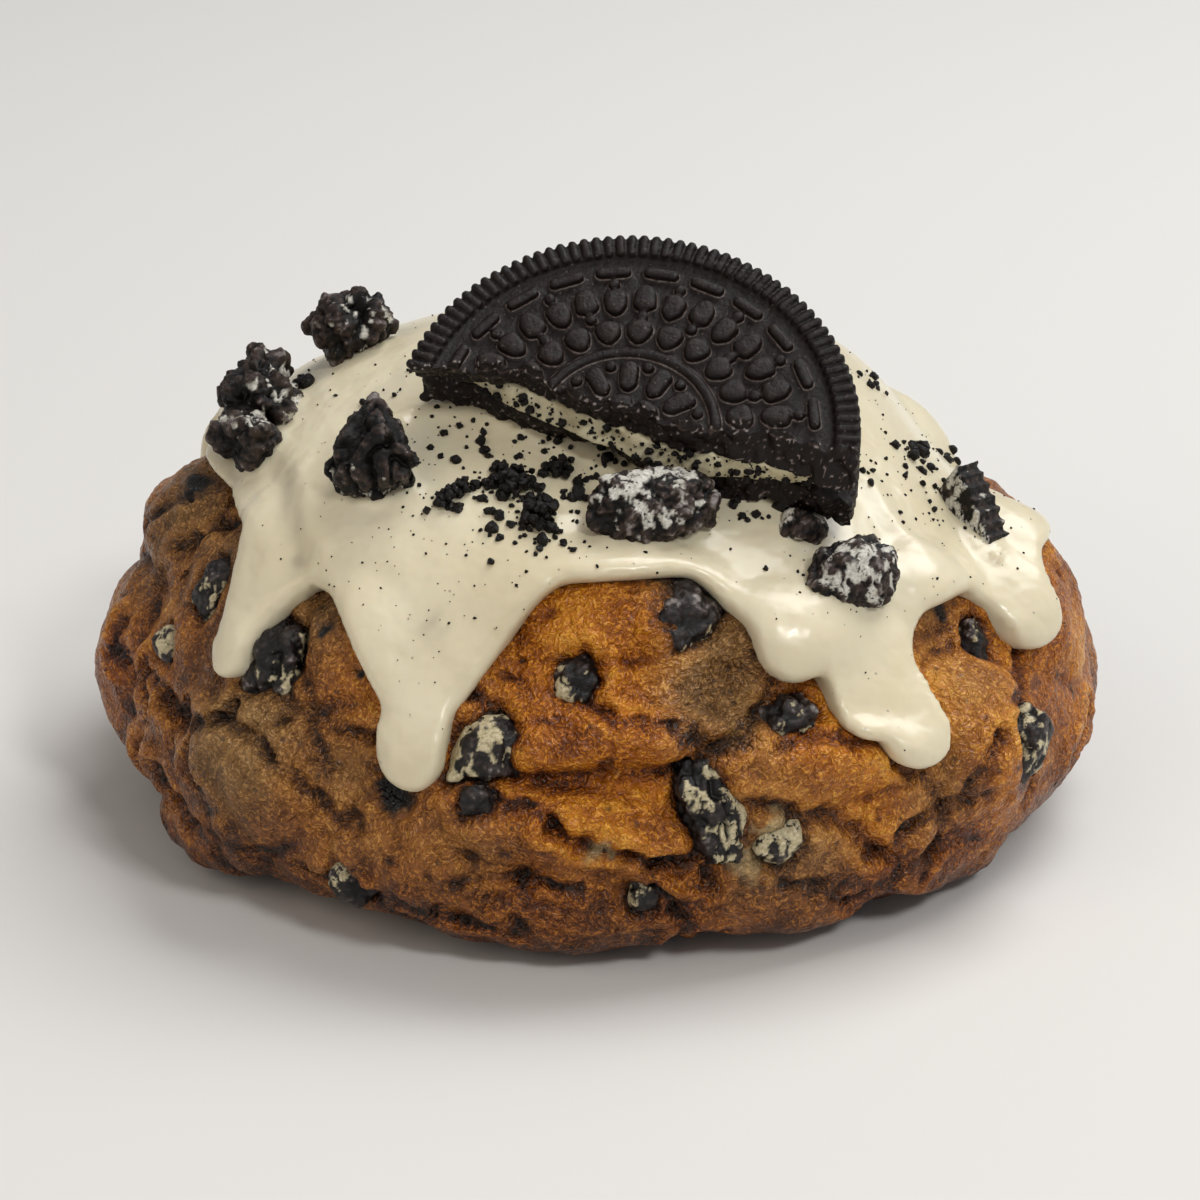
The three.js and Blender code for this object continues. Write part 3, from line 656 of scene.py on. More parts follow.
@dataclass(frozen=True)
class CocoaBiscuit(Finish):
    """Dark cocoa biscuit: pressed and baked, with a fine dry grain and edges worn slightly paler.

    The mesh paints edge, where it is worn and where painted highlights lie, and cream, where cream is smeared
    on it.
    """

    name: str = "cocoa_biscuit"
    roughness: float = 0.45
    specular: float = 0.25
    dark: str = "#140b08"
    pale: str = "#3d2f28"
    wear_and_sheen_tint: str = "#968e8b"
    sugar_tint: str = "#8b7d74"
    smear_dark: str = "#8d8370"
    smear_pale: str = "#cfc4a6"
    grain_size: float = 0.35
    grain_depth: float = 0.16

    def pattern(self, add: Callable[..., Socket], place: Socket) -> dict[str, Socket]:
        """The biscuit's pattern.

        Args:
            add: Adds a node and gives its output.
            place: The object's coordinates.

        Returns:
            What feeds the shader's inputs, by their names.
        """
        edge, cream = painted(add, "edge", "cream")
        # Dry grain, a third of a millimetre across, which the worn edges and painted highlights stand out
        # from.
        grain = add("TexNoise", Vector=place, Scale=1 / (self.grain_size * MM), Detail=4.0, Roughness=0.65)
        wear_and_sheen = add("Math", operation="MULTIPLY_ADD", _0=grain, _1=0.5, _2=edge)
        wear_and_sheen = add("Math", operation="SUBTRACT", _0=wear_and_sheen, _1=0.25)
        baked = ((0.0, self.dark), (0.3, self.dark), (0.65, self.pale), (1.0, self.wear_and_sheen_tint))
        colour = add("ValToRGB", stops=baked, Fac=wear_and_sheen)
        # Fine pale sugar specks, 0.15 mm across, about one every millimetre.
        sugar = add("TexVoronoi", Vector=place, Scale=1100.0)
        speck = add("MapRange", Value=sugar, From_Min=0.13, From_Max=0.07, To_Max=0.3)
        colour = add("MixRGB", Fac=speck, Color1=colour, Color2=self.sugar_tint)
        # The smear's own ragged dark crumbs, 1 mm across and less.
        crumbs = add("TexNoise", Vector=place, Scale=850.0, Detail=4.0, Roughness=0.7)
        clean = add("MapRange", Value=crumbs, From_Min=0.4, From_Max=0.45, To_Max=1.0)
        smear = add("Math", operation="MULTIPLY", _0=cream, _1=clean)
        smeared = add("ValToRGB", stops=((0.35, self.smear_dark), (0.65, self.smear_pale)), Fac=grain)
        colour = add("MixRGB", Fac=smear, Color1=colour, Color2=smeared)
        relief = add("Bump", Strength=0.9, Distance=self.grain_depth * MM, Height=grain)
        shine = {"To_Min": self.roughness - 0.15, "To_Max": self.roughness + 0.12}
        rough = add("MapRange", Value=grain, From_Min=0.3, From_Max=0.7, **shine)
        return {"Base Color": colour, "Normal": relief, "Roughness": rough}


@dataclass(frozen=True)
class FillingCream(Finish):
    """The sandwich's filling: pale matt sugar cream, torn where the biscuit broke."""

    name: str = "filling_cream"
    roughness: float = 0.55
    subsurface: float = 0.08
    pale: Stops = ((0.3, "#b3a784"), (0.6, "#d9cfae"))

    def pattern(self, add: Callable[..., Socket], place: Socket) -> dict[str, Socket]:
        """The cream's pattern.

        Args:
            add: Adds a node and gives its output.
            place: The object's coordinates.

        Returns:
            What feeds the shader's inputs, by their names.
        """
        # Sugar grain and mottling, 2 mm across and less.
        mottle = add("TexNoise", Vector=place, Scale=500.0, Detail=4.0)
        tint = add("ValToRGB", stops=self.pale, Fac=mottle)
        relief = add("Bump", Strength=0.6, Distance=0.0003, Height=mottle)
        return {"Base Color": tint, "Normal": relief}


# ---- The form of the dome, the same one that the solid has ----


@dataclass(frozen=True)
class Lobe:
    """A lobe of dough: half its length and half its height along the dome, how proud it stands, its turn."""

    bearing: float
    height: float
    along: float
    across: float
    proud: float
    turn: float = 0.0


@dataclass(frozen=True)
class Swell:
    """A broad rise or hollow, by bearing and polar angle."""

    bearing: float
    polar: float
    size: float
    proud: float


LOBES = table(
    Lobe,
    (-82, 16, 13, 13, 2.6), (-46, 15, 14.5, 10.5, 2.6, 8), (-84, 29, 11, 9.5, 2.8, 20),
    (-34, 27, 8, 8.5, 1.5), (1, 32, 13, 8.2, 1.9, 3), (-1, 23.2, 13, 3.2, 1.9, 6), (-5, 15.6, 14, 5, 2, -5),
    (-6, 6.2, 16, 6, 1.1), (-22, 11.5, 10, 8.5, 2, -24), (26, 19.5, 13.5, 5, 2.2, -7), (25, 29, 9, 6.5, 1.7),
    (21, 7.2, 13, 6.2, 1.1, -9), (50, 15, 12, 11, 2.2, -35), (76, 20, 13, 15, 2), (51, 29, 7, 6.5, 1.7),
    (-55, 5.5, 12, 5.2, 2.3, 12), (46, 6.5, 13, 5.5, 0.8, -8),
)
# Rows of lobes on the far side: height, count, half length, half height and how proud they stand.
FAR_LOBE_ROWS = [(7, 6, 14, 7, 1.8), (18, 6, 13, 8.5, 2.2), (30, 5, 12, 8, 1.6)]
FAR_SIDE = (98, 262)
RISES = table(
    Swell,
    (102, 63, 14, -3.5), (-98, 73, 8.5, 2), (-82, 99, 8, 2), (4, 31, 12, -4), (46, 18, 11, 3.2),
)


@dataclass(frozen=True)
class Dome:
    """The lumpy dome of dough, as its reach from the heart along any direction."""

    half_width: float = 50.8
    half_depth: float = 48.4
    girth_height: float = 13.0
    height: float = 47.0
    shoulder: float = 1.78
    foot: float = 3.0
    foot_depth: float = 1.25
    flatter: float = -0.2  # how much flatter the dome is towards +X
    wider: float = 1.2  # and how much wider
    crease_blend: float = 0.9
    unevenness: float = 0.45
    wave_length: float = 11.0

    def plain(self, d: Array) -> Array:
        """The reach of the plain dome, without lobes.

        Args:
            d: Unit directions from the heart.

        Returns:
            The reach along each.
        """
        side = d[..., 0] / np.maximum(np.hypot(d[..., 0], d[..., 1]), 1e-9)
        out = np.hypot(d[..., 0] / (self.half_width + self.wider * side), d[..., 1] / self.half_depth)
        above = d[..., 2] > 0
        rise = np.where(above, self.height - self.girth_height, self.girth_height * self.foot_depth)
        power = np.where(above, self.shoulder + self.flatter * side, self.foot)
        return (out**power + (np.abs(d[..., 2]) / rise) ** power) ** (-1 / power)

    def polar_at(self, bearing: Array, height: Array) -> Array:
        """The polar angle at which the plain dome stands at a height, on each bearing.

        Args:
            bearing: The bearings.
            height: The height above the floor.

        Returns:
            The polar angle on each bearing.
        """
        bearing, height = np.broadcast_arrays(np.asarray(bearing, float), np.asarray(height, float))
        low, high = np.zeros(bearing.shape), np.full(bearing.shape, 170.0)
        for _ in range(40):
            middle = (low + high) / 2
            d = directions(bearing, middle)
            above = self.girth_height + d[..., 2] * self.plain(d) > height
            low, high = np.where(above, middle, low), np.where(above, high, middle)
        return low

    def place(self, bearing: float, height: float) -> Array:
        """The point of the surface at a bearing and a height."""
        d = directions(bearing, self.polar_at(bearing, height))
        return HEART + d * self.reach(d[None])[0]

    def distance(self, spot: "Spot", points: Array) -> Array:
        """How far points are from a spot's place on the surface."""
        return np.sqrt(((points - self.place(spot.bearing, spot.height)) ** 2).sum(-1))

    @cached_property
    def lobes(self) -> list[tuple[Lobe, float]]:
        """All lobes with their polar angles, those of the far side too.

        Returns:
            Each lobe with its polar angle.
        """
        near = [(lobe, float(self.polar_at(lobe.bearing, lobe.height))) for lobe in LOBES]
        draw = random_stream(5)
        far = []
        for height, count, along, across, proud in FAR_LOBE_ROWS:
            for i in range(count):
                share = (i + 0.5 + 0.35 * (next(draw) - 0.5)) / count
                bearing = FAR_SIDE[0] + (FAR_SIDE[1] - FAR_SIDE[0]) * share
                at = height + 3 * (next(draw) - 0.5)
                sizes = (along * (0.85 + 0.3 * next(draw)), across * (0.85 + 0.3 * next(draw)))
                stands = proud * (0.8 + 0.4 * next(draw))
                lobe = Lobe(bearing, at, *sizes, stands, 24 * (next(draw) - 0.5))
                far.append((lobe, float(self.polar_at(bearing, at))))
        return near + far

    def lobe_reach(self, lobe: Lobe, polar: float, d: Array) -> Array:
        """How far one lobe reaches along directions, or 0 where it isn't met.

        Args:
            lobe: The lobe.
            polar: Its polar angle.
            d: Unit directions from the heart.

        Returns:
            The reach along each.
        """
        out = directions(lobe.bearing, polar)
        side = directions(lobe.bearing + 90, 90)
        up = -np.cross(side, out)
        thick = min(lobe.along, lobe.across) * 0.9 + 1
        centre = out * (self.plain(out[None])[0] + lobe.proud - thick)
        turn = math.radians(lobe.turn)
        axes = np.stack(
            [
                (math.cos(turn) * side + math.sin(turn) * up) / lobe.along,
                (-math.sin(turn) * side + math.cos(turn) * up) / lobe.across,
                out / thick,
            ]
        )
        start = -axes @ centre
        v = d @ axes.T
        along, length = -(v @ start), (v**2).sum(-1)
        inside = along**2 - length * (start @ start - 1)
        return np.where(inside > 0, (along + np.sqrt(np.maximum(inside, 0))) / length, 0)

    def lobed(self, d: Array, blend: float) -> tuple[Array, Array]:
        """The reach with lobes, and how near the crease between the two foremost forms is.

        Args:
            d: Directions.
            blend: How soft the creases are.

        Returns:
            The reach, and by how much the foremost form stands before the next one.
        """
        plain = self.plain(d)
        reach, first, second = plain, plain, np.zeros_like(plain)
        for lobe, polar in self.lobes:
            one = self.lobe_reach(lobe, polar, d)
            reach = soft_max(reach, one, blend)
            second = np.maximum(second, np.minimum(first, one))
            first = np.maximum(first, one)
        return reach + swell_height(RISES, d, plain), first - second

    def reach(self, d: Array) -> Array:
        """The reach of the solid's own surface, before the fine relief.

        Args:
            d: Unit directions from the heart.

        Returns:
            The reach along each.
        """
        reach, _ = self.lobed(d, self.crease_blend)
        p = d * reach[..., None]
        k = 2 * math.pi / self.wave_length
        x, y, z = p[..., 0], p[..., 1], p[..., 2]
        wave = np.sin(k * (x + 0.35 * z) + 1.3) * np.cos(k * (0.8 * y - 0.3 * x) + 0.4)
        wave += np.sin(k * (1.1 * z - 0.6 * y) + 2.1) * np.cos(k * (0.9 * x + 0.5 * y))
        wave += np.sin(k * (1.7 * x - 1.3 * y + 0.9 * z))
        return reach + self.unevenness * wave / 2.2


def swell_height(swells: Sequence[Swell], d: Array, reach: Array) -> Array:
    """The height that swells add at directions where the surface is a given reach away.

    Args:
        swells: The swells.
        d: Unit directions from the heart.
        reach: The surface's reach along each.

    Returns:
        The height along each.
    """
    total = np.zeros(d.shape[:-1])
    for swell in swells:
        turn = np.arccos(np.clip(d @ directions(swell.bearing, swell.polar), -1, 1))
        total += swell.proud * bump_of(turn * reach, swell.size)
    return total


def wrapped_grid(columns: int, rows: int) -> tuple[Piece, Array, Array]:
    """A flat grid of quads to be wrapped round the heart, column by column.

    Args:
        columns: How many columns go round.
        rows: How many steps go from pole to pole.

    Returns:
        The object, and for each vertex its row and its column.
    """
    bpy.ops.mesh.primitive_grid_add(x_subdivisions=columns, y_subdivisions=rows, size=2)
    piece = bpy.context.object
    p = places_of(piece)
    column = np.rint((p[:, 0] + 1) / 2 * columns).astype(int) % columns
    row = np.rint((1 - p[:, 1]) / 2 * rows).astype(int)
    return piece, row, column


def close_seams(piece: Piece, gap: float) -> None:
    """Merges the vertices that lie together, where a wrapped grid meets itself.

    Args:
        piece: The piece.
        gap: How far apart they may be.
    """
    with editing(piece):
        bpy.ops.mesh.remove_doubles(threshold=gap)
        bpy.ops.mesh.normals_make_consistent(inside=False)


# ---- The dough ----


@dataclass(frozen=True)
class Crease:
    """A fold or crack in the dough: how deep and wide, and its path by bearing and height."""

    depth: float
    width: float
    path: Path


@dataclass(frozen=True)
class Spot:
    """A spot on the dough, by bearing and height: its size and its strength."""

    bearing: float
    height: float
    size: float
    strength: float = 1.0


CREASES = [
    Crease(1.1, 0.8, ((-0.6, 26.1), (2.6, 25.5), (6.4, 25.1), (10.8, 23.7), (14.3, 22.8))),
    Crease(1.0, 0.9, ((-16.3, 27.3), (-10.5, 24.3), (-6.7, 20.6), (-2, 20.3), (3, 20.5), (8.3, 21.7))),
    Crease(2.0, 0.8, ((-4.7, 16.8), (-1.9, 15.5), (2.9, 14.5), (5.7, 13.3), (8.3, 12.7), (12.4, 10.6))),
    Crease(1.0, 0.6, ((-14.4, 11.3), (-12.2, 11.3), (-9.9, 11.4), (-6.6, 10.6), (-2, 10.2))),
    Crease(1.4, 0.6, ((5.7, 13.3), (6.6, 10.6), (8.5, 7.4), (9.3, 4.3), (9.6, 0))),
    Crease(1.6, 1.0, ((-76.6, 21), (-76.6, 18.4), (-68.8, 17.6), (-66.1, 15.1), (-69, 10.6), (-70, 5))),
    Crease(
        1.4, 0.9, ((-68.4, 19.3), (-62.4, 17.6), (-57.4, 17.5), (-50.5, 19.5), (-47.3, 20.4), (-45.6, 22.9))
    ),
    Crease(1.1, 0.8, ((-49.8, 18.8), (-51.7, 14.6), (-47.4, 12.4), (-48.4, 5.8))),
    Crease(0.9, 0.7, ((-36.2, 23.3), (-31.5, 22.2), (-26.3, 22.7))),
    Crease(1.0, 0.8, ((-47.2, 20.9), (-39.4, 19.6), (-35.6, 17.3), (-32.1, 14.8), (-26.7, 14.5))),
    Crease(1.0, 0.8, ((-82.7, 28.9), (-80.4, 31.3), (-77.7, 32.8))),
    Crease(1.1, 0.8, ((-73.4, 29.1), (-71.4, 31.4), (-68.3, 33.5))),
    Crease(1.2, 0.8, ((20.5, 22.6), (23.8, 22.8), (30.2, 22.2), (34.7, 19.8), (37.3, 17.6))),
    Crease(1.3, 0.8, ((17, 18.3), (21.3, 16.3), (26.2, 14.8), (29.7, 13.6), (31.5, 11.2), (33.3, 10))),
    Crease(1.3, 0.9, ((48, 18.7), (46.1, 17.2), (43.8, 14.9), (40.1, 13.1), (36.3, 12), (32.9, 10.1))),
    Crease(1.0, 0.8, ((46.1, 13.7), (41.8, 12.8), (40.1, 10), (39.1, 6.6))),
    Crease(1.0, 0.7, ((20.5, 9.1), (25.9, 7.4), (31.3, 4.4))),
    Crease(1.1, 0.8, ((62.1, 26.3), (63.6, 23.7), (62.3, 22.5), (56.8, 20.6), (52.9, 21))),
    Crease(1.2, 0.9, ((75, 12.5), (70.7, 10.9), (67.9, 10), (69.5, 7.8))),
    Crease(0.8, 0.6, ((-2, 30.5), (-0.6, 26.6), (1, 25.8))),
    Crease(1.0, 0.8, ((21.5, 27.1), (19, 24.5), (16.6, 23.4), (14.3, 22.8))),
    Crease(0.8, 0.7, ((-11.9, 19.2), (-7.6, 18.2), (-4.7, 16.8))),
    Crease(1.1, 0.9, ((-64, 9.5), (-58.9, 8), (-51.5, 7.5), (-47.8, 3.6))),
    Crease(0.9, 0.8, ((-36, 7.5), (-30.4, 6.8), (-22.7, 7.2), (-17.1, 6.1), (-8, 5.4))),
]
PITS = table(
    Spot,
    (-15.7, 10.6, 1.0, 1.2), (-8.3, 10.4, 1.4, 1.5), (-57.4, 17.5, 1.8, 1.4), (41.1, 8.8, 1.1, 1.2),
    (21.5, 16.8, 0.9, 0.9), (20.3, 11.4, 1.0, 1.0), (-14.2, 12.7, 0.8, 0.8), (29.8, 5.2, 0.8, 0.8),
    (11.2, 13.5, 1.1, 1.0), (0.6, 21.7, 1.3, 0.9),
)
# Where the crust is more golden, paler and greyer, or stained by cocoa or cream.
GOLD_SPOTS = table(
    Spot,
    (-2.5, 34.2, 6, 0.18), (1, 28.1, 8, 0.24), (0.1, 18.7, 6, 0.14), (-72.3, 26.1, 6, 0.22),
    (-29.1, 25.1, 6, 0.2), (-34.2, 18.4, 7, 0.12), (43.8, 22.5, 9, 0.22), (28.9, 18, 8, 0.2),
    (59.6, 23.4, 5, 0.16), (73.7, 18.6, 10, 0.2), (51.2, 10.8, 8, 0.16), (26.4, 27.8, 4, 0.1),
    (-62.3, 23.7, 4, 0.12), (-85, 16, 9, 0.08),
)
GREY_SPOTS = table(
    Spot,
    (12.5, 35, 5, 0.9), (19.8, 30.2, 5, 0.8), (15.1, 24.8, 5, 0.7), (12.8, 27.2, 4, 0.5),
    (41.8, 14.5, 5, 0.7), (50.1, 28.7, 5, 0.7), (47.7, 23.7, 4, 0.4), (-38.8, 31.1, 6, 0.7),
    (-42.9, 20.9, 7, 0.7), (-47.3, 17.4, 7, 0.6), (-30.3, 20.4, 6, 0.6), (-26.4, 13.1, 6, 0.4),
    (-74.1, 28.4, 8, 0.6), (-51.1, 34.2, 9, 0.7), (-80, 33, 9, 0.7), (-13.1, 14, 6, 0.5), (20.3, 9.7, 7, 0.5),
    (20, 14.5, 5, 0.5),
)
COCOA_SPOTS = table(
    Spot,
    (-36.8, 30, 1.0), (-30.3, 27.5, 0.7), (-32.5, 28.6, 0.5), (51.7, 28.4, 1.0), (58.6, 26.9, 0.5),
    (70.1, 16.3, 0.6), (67, 18.9, 0.5), (-23.3, 18.1, 2.2), (-12.9, 19.6, 1.4), (0.6, 21.7, 1.0, 0.7),
    (-78.8, 33.7, 1.8), (27.6, 22.6, 0.7), (11.5, 35.2, 2.6, 0.75), (-8.3, 10.4, 0.8, 0.7),
)
CREAM_SPOTS = table(
    Spot,
    (19.3, 15.4, 1.7, 0.7), (-0.5, 14.9, 1.6, 0.55), (16.2, 11.7, 1.8, 0.45), (-63, 23.5, 0.8, 0.8),
)
BAKED_NODES = sorted(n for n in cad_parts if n.startswith("dough_chunk_"))
TOPPING_NODES = sorted(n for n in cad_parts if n.startswith("topping_"))


@dataclass
class Dough:
    """The baked dough, as a fine grid of columns and rows pulled out to its crust."""

    dome: Dome
    front_step: float = 0.46  # degrees between columns on the near side
    far_step: float = 0.8
    front_reach: float = 105.0
    top_rows: int = 7
    side_rows: int = 122
    base_rows: int = 6
    side_from: float = 44.0  # polar angle under the icing where the fine rows start
    lump: float = 0.5  # height of the puffy lumps
    lump_size: float = 6.5
    pucker: float = 0.17  # height of the smaller lumps
    pucker_size: float = 3.1
    crumb: float = 0.2  # height of the crust's crumbs
    crumb_size: float = 1.15
    grain: float = 0.09  # height of its finest grain
    grain_size: float = 0.9
    fold_depth: float = 0.6  # of the creases between lobes
    fold_width: float = 0.5
    dip: float = 0.9  # how deep a crease is cut, of its depth
    lip: float = 0.3  # how high its lips stand, of its depth
    bead: float = 0.45  # height of the beads along a crease
    bead_size: float = 1.3
    small_pits: int = 150
    collar: float = 0.35  # height of the dough that stands up round a biscuit piece
    collar_from: float = 1.6  # how far from the piece
    groove: float = 0.9  # depth of the groove beside the piece
    near: float = 3.5  # how far from the piece all this is looked for
    shade_depth: float = 0.38  # depth of a hollow whose painted shade is as dark as it gets

    def columns(self) -> Array:
        """The bearings of the columns, from 0 up to 360.

        Returns:
            One bearing for each column.
        """
        near = np.arange(0, self.front_reach, self.front_step)
        far = np.arange(self.front_reach, 360 - self.front_reach, self.far_step)
        back = np.linspace(360 - self.front_reach, 360, len(near), endpoint=False)
        return np.concatenate([near, far, back])

    def rows(self, columns: Array) -> Array:
        """The polar angle of each row on each column.

        Args:
            columns: The bearings of the columns.

        Returns:
            The polar angles, by column and row.
        """
        foot = self.dome.polar_at(columns, 0.01) + 0.8
        top = np.linspace(0, self.side_from, self.top_rows, endpoint=False)
        side = np.linspace(0, 1, self.side_rows)
        base = np.linspace(0, 1, self.base_rows + 1)[1:]
        upper = np.repeat(top[:, None], len(columns), 1)
        middle = self.side_from + side[:, None] * (foot - self.side_from)
        lower = foot + base[:, None] * (180 - foot)
        return np.concatenate([upper, middle, lower])

    def relief(
        self, points: Array, between: Array, chunks: Sequence[tuple[BVHTree, Array, Array]]
    ) -> tuple[Array, Array, Array]:
        """The fine relief of the crust.

        Args:
            points: The smooth surface's points, by row and column.
            between: How near the crease between two lobes is, for each point.
            chunks: For each biscuit piece baked into it the search tree and the corners of its box.

        Returns:
            The height of the relief, how near each point is to a biscuit piece, and how deep it lies in a
            fold, the last two from 0 to 1.
        """
        noise = Noise(12)
        flat = points.reshape(-1, 3)
        wide = flat * np.array([0.75, 0.75, 1.0])  # lumps are wider than high
        calm = smoothstep(-0.5, 0.6, noise.waves(flat + 50, 16))  # some parts are smoother
        height = self.lump * noise.waves(noise.shift(wide, 5, 1.2), self.lump_size)
        pucker = 0.3 - np.abs(noise.waves(noise.shift(wide, 3, 0.7), self.pucker_size))
        height -= self.pucker * pucker * (1.25 - 0.75 * calm)
        crumbs = noise.pebbles(noise.shift(flat, 2, 0.4), self.crumb_size) - 0.6
        height += self.crumb * crumbs * (1.2 - 0.5 * calm)
        height += self.grain * noise.waves(flat, self.grain_size)
        # The creases between lobes come and go, and are as ragged as the painted folds are.
        rough = 0.75 + 0.5 * noise.waves(flat, 2.0)
        fold = bump_of(between.ravel(), self.fold_width) * np.clip(rough, 0.2, 1.3)
        fold *= smoothstep(-0.5, 0.3, noise.waves(flat + 9, 8))
        height -= self.fold_depth * fold
        fold *= 0.7
        # The creases that the photograph shows, with lips beside them and beads of dough along them.
        bent = noise.shift(noise.shift(flat, 3.2, 0.9), 1.2, 0.35)
        beads = noise.pebbles(noise.shift(flat, 1.5, 0.3), self.bead_size) - 0.55
        for crease in CREASES:
            path = np.array([self.dome.place(*at) for at in crease.path])
            near = near_box(flat, path.min(0), path.max(0), 5)
            away = path_distance(bent[near], path)
            dip = bump_of(away, crease.width) * np.clip(rough[near], 0.35, 1.2)
            lips = bump_of(away - 2.3 * crease.width, crease.width)
            raised = self.lip * lips - self.dip * dip
            height[near] += crease.depth * raised + self.bead * beads[near] * bump_of(away, 2.4)
            fold[near] = np.maximum(fold[near], dip)
        rng = np.random.default_rng(8)
        ranges = ((-180, 180), (2, 34), (0.35, 0.75))  # bearing, height and size
        small = [Spot(*(rng.uniform(*ends) for ends in ranges), 0.6) for _ in range(self.small_pits)]
        for pit in PITS + small:
            hole = bump_of(self.dome.distance(pit, bent), pit.size)
            height -= pit.strength * hole
            fold = np.maximum(fold, 0.8 * pit.strength * hole)
        beside = np.zeros(len(flat))
        for tree, low, high in chunks:
            near = near_box(flat, low, high, self.near)
            away = distances_to(tree, flat[near], self.near)
            collar = self.collar * bump_of(away - self.collar_from, 0.8)
            collar *= 1 + 0.8 * noise.waves(flat[near], 2.5)
            height[near] += collar - self.groove * bump_of(np.maximum(away + 0.2, 0), 0.6)
            beside[near] = np.maximum(beside[near], bump_of(np.maximum(away, 0), 0.8))
        shape = points.shape[:-1]
        return height.reshape(shape), beside.reshape(shape), np.clip(fold, 0, 1).reshape(shape)

    def tones(self, points: Array, height: Array, beside: Array, fold: Array) -> dict[str, Array]:
        """What the material reads of the crust: its tone with painted light and shade, greyness, cocoa and
        cream.

        Args:
            points: The crust's points, by row and column.
            height: The height of its relief.
            beside: How near each point is to a biscuit piece, where the tone is painted darker as shade and
                cocoa stains it.
            fold: How deep each point lies in a fold or pit, where painted shade darkens the tone.

        Returns:
            The numbers by name.
        """
        noise = Noise(77)
        soft = height
        kernel = bump_of(np.arange(-7, 8), 3.2)
        kernel /= kernel.sum()
        for axis in (0, 1):
            soft = sum(k * np.roll(soft, s, axis) for s, k in zip(range(-7, 8), kernel))
        # Painted light and shade: against a softened copy of the relief, the tone is lighter on its rises and
        # darker in its hollows, and the crust a little greyer in the hollows.
        hollow_shade = np.clip((height - soft) / self.shade_depth, -1, 1)
        tone = 0.5 + 0.16 * hollow_shade + 0.16 * noise.waves(points, 10, 2)
        grey = 0.28 + 0.3 * noise.waves(points + 40, 13, 2) - 0.1 * hollow_shade
        ragged = noise.shift(noise.shift(points, 2.0, 0.9), 0.8, 0.35)

        def spread(spots: Sequence[Spot]) -> Array:
            """Sums up spots as soft bells.

            Args:
                spots: The spots.

            Returns:
                Their sum at each vertex.
            """
            total = np.zeros(points.shape[:-1])
            for spot in spots:
                total += spot.strength * bump_of(self.dome.distance(spot, points), spot.size)
            return total

        def smears(spots: Sequence[Spot]) -> Array:
            """Draws spots with ragged outlines.

            Args:
                spots: The spots.

            Returns:
                Their strength at each vertex.
            """
            total = np.zeros(points.shape[:-1])
            for spot in spots:
                inside = smoothstep(1.15 * spot.size, 0.7 * spot.size, self.dome.distance(spot, ragged))
                total = np.maximum(total, spot.strength * inside)
            return total

        # Painted shade: the tone is darker in folds and pits, beside the biscuit pieces and towards the
        # bottom, where the crust is also browner.
        low, gold = smoothstep(17, 0, points[..., 2]), spread(GOLD_SPOTS)
        tone += 0.8 * gold - 0.2 * low - 0.22 * beside - 0.32 * fold
        grey += 0.9 * spread(GREY_SPOTS) - 1.6 * gold
        stain = 0.45 * beside * smoothstep(-0.2, 0.5, noise.waves(points, 1.6))
        cocoa = np.maximum(smears(COCOA_SPOTS), stain)
        return {"tone": tone, "grey": grey, "cocoa": cocoa, "cream": smears(CREAM_SPOTS)}

    def build(self, material: Material) -> Piece:
        """Builds the dough.

        Args:
            material: Its finish.

        Returns:
            The piece.
        """
        columns = self.columns()
        polar = self.rows(columns)
        piece, row, column = wrapped_grid(len(columns), len(polar) - 1)
        d = directions(columns[None, :], polar)
        reach = self.dome.reach(d)
        _, between = self.dome.lobed(d, self.dome.crease_blend)
        chunks = []
        for node in BAKED_NODES:
            form = copy_of_node(node)
            places = places_of(form)
            chunks.append((tree_of(form), places.min(0), places.max(0)))
            bpy.data.objects.remove(form)
        height, beside, fold = self.relief(HEART + d * reach[..., None], between, chunks)
        fade = smoothstep(168, 150, polar)
        reach = reach + height * fade
        stop = np.where(d[..., 2] < 0, HEART[2] / np.maximum(-d[..., 2], 1e-9), np.inf)
        points = HEART + d * np.minimum(reach, stop)[..., None]
        for name, values in self.tones(points, height, beside, fold).items():
            paint(piece, name, values[row, column])
        move_to(piece, points[row, column])
        close_seams(piece, 0.002)
        return finish_piece(piece, "baked_dough", "dough", material, ["dough"])


# ---- The icing ----


@dataclass(frozen=True)
class Drip:
    """A drip: its tip, its finger's width to either side, the funnel above it, and how far its tip swells."""

    bearing: float
    tip: float
    left: float
    right: float
    funnel: float
    funnel_left: float
    funnel_right: float
    swell: float = 0.8


@dataclass(frozen=True)
class Flow:
    """A ridge (proud above 0) or a valley in the icing, along a path by bearing and polar angle."""

    proud: float
    width: float
    path: Path


RIM = np.array(
    [
        (-165, 59), (-90, 58.2), (-74, 58.4), (-62, 59.9), (-38, 62.7), (-3, 56.6), (11, 56), (50, 67.1),
        (64, 68.2), (80, 68.6), (92, 74), (102, 73.5), (111, 66), (119, 55), (130, 53.6), (150, 58.5),
    ]
)
DRIPS = table(
    Drip,
    (-48.9, 77, 2.8, 2.8, 13, 8, 4.6), (-20.8, 83.1, 4.8, 3.2, 17.5, 10.6, 9.6),
    (25, 72, 5, 7, 11, 7.5, 9, 0), (32.8, 79.6, 4.4, 3, 14.5, 8, 8, 0), (38, 83.8, 5, 3.4, 12, 8, 5.6),
    (63.8, 78.6, 4, 4.2, 8, 5, 6), (140, 77, 4.4, 4, 11, 9, 9), (160, 71, 4.2, 5, 7, 9, 9),
    (188, 82, 4, 4.4, 14, 11, 11), (220, 70, 4.4, 4, 6, 10, 9), (243, 76, 3.6, 4, 10, 9, 8),
)
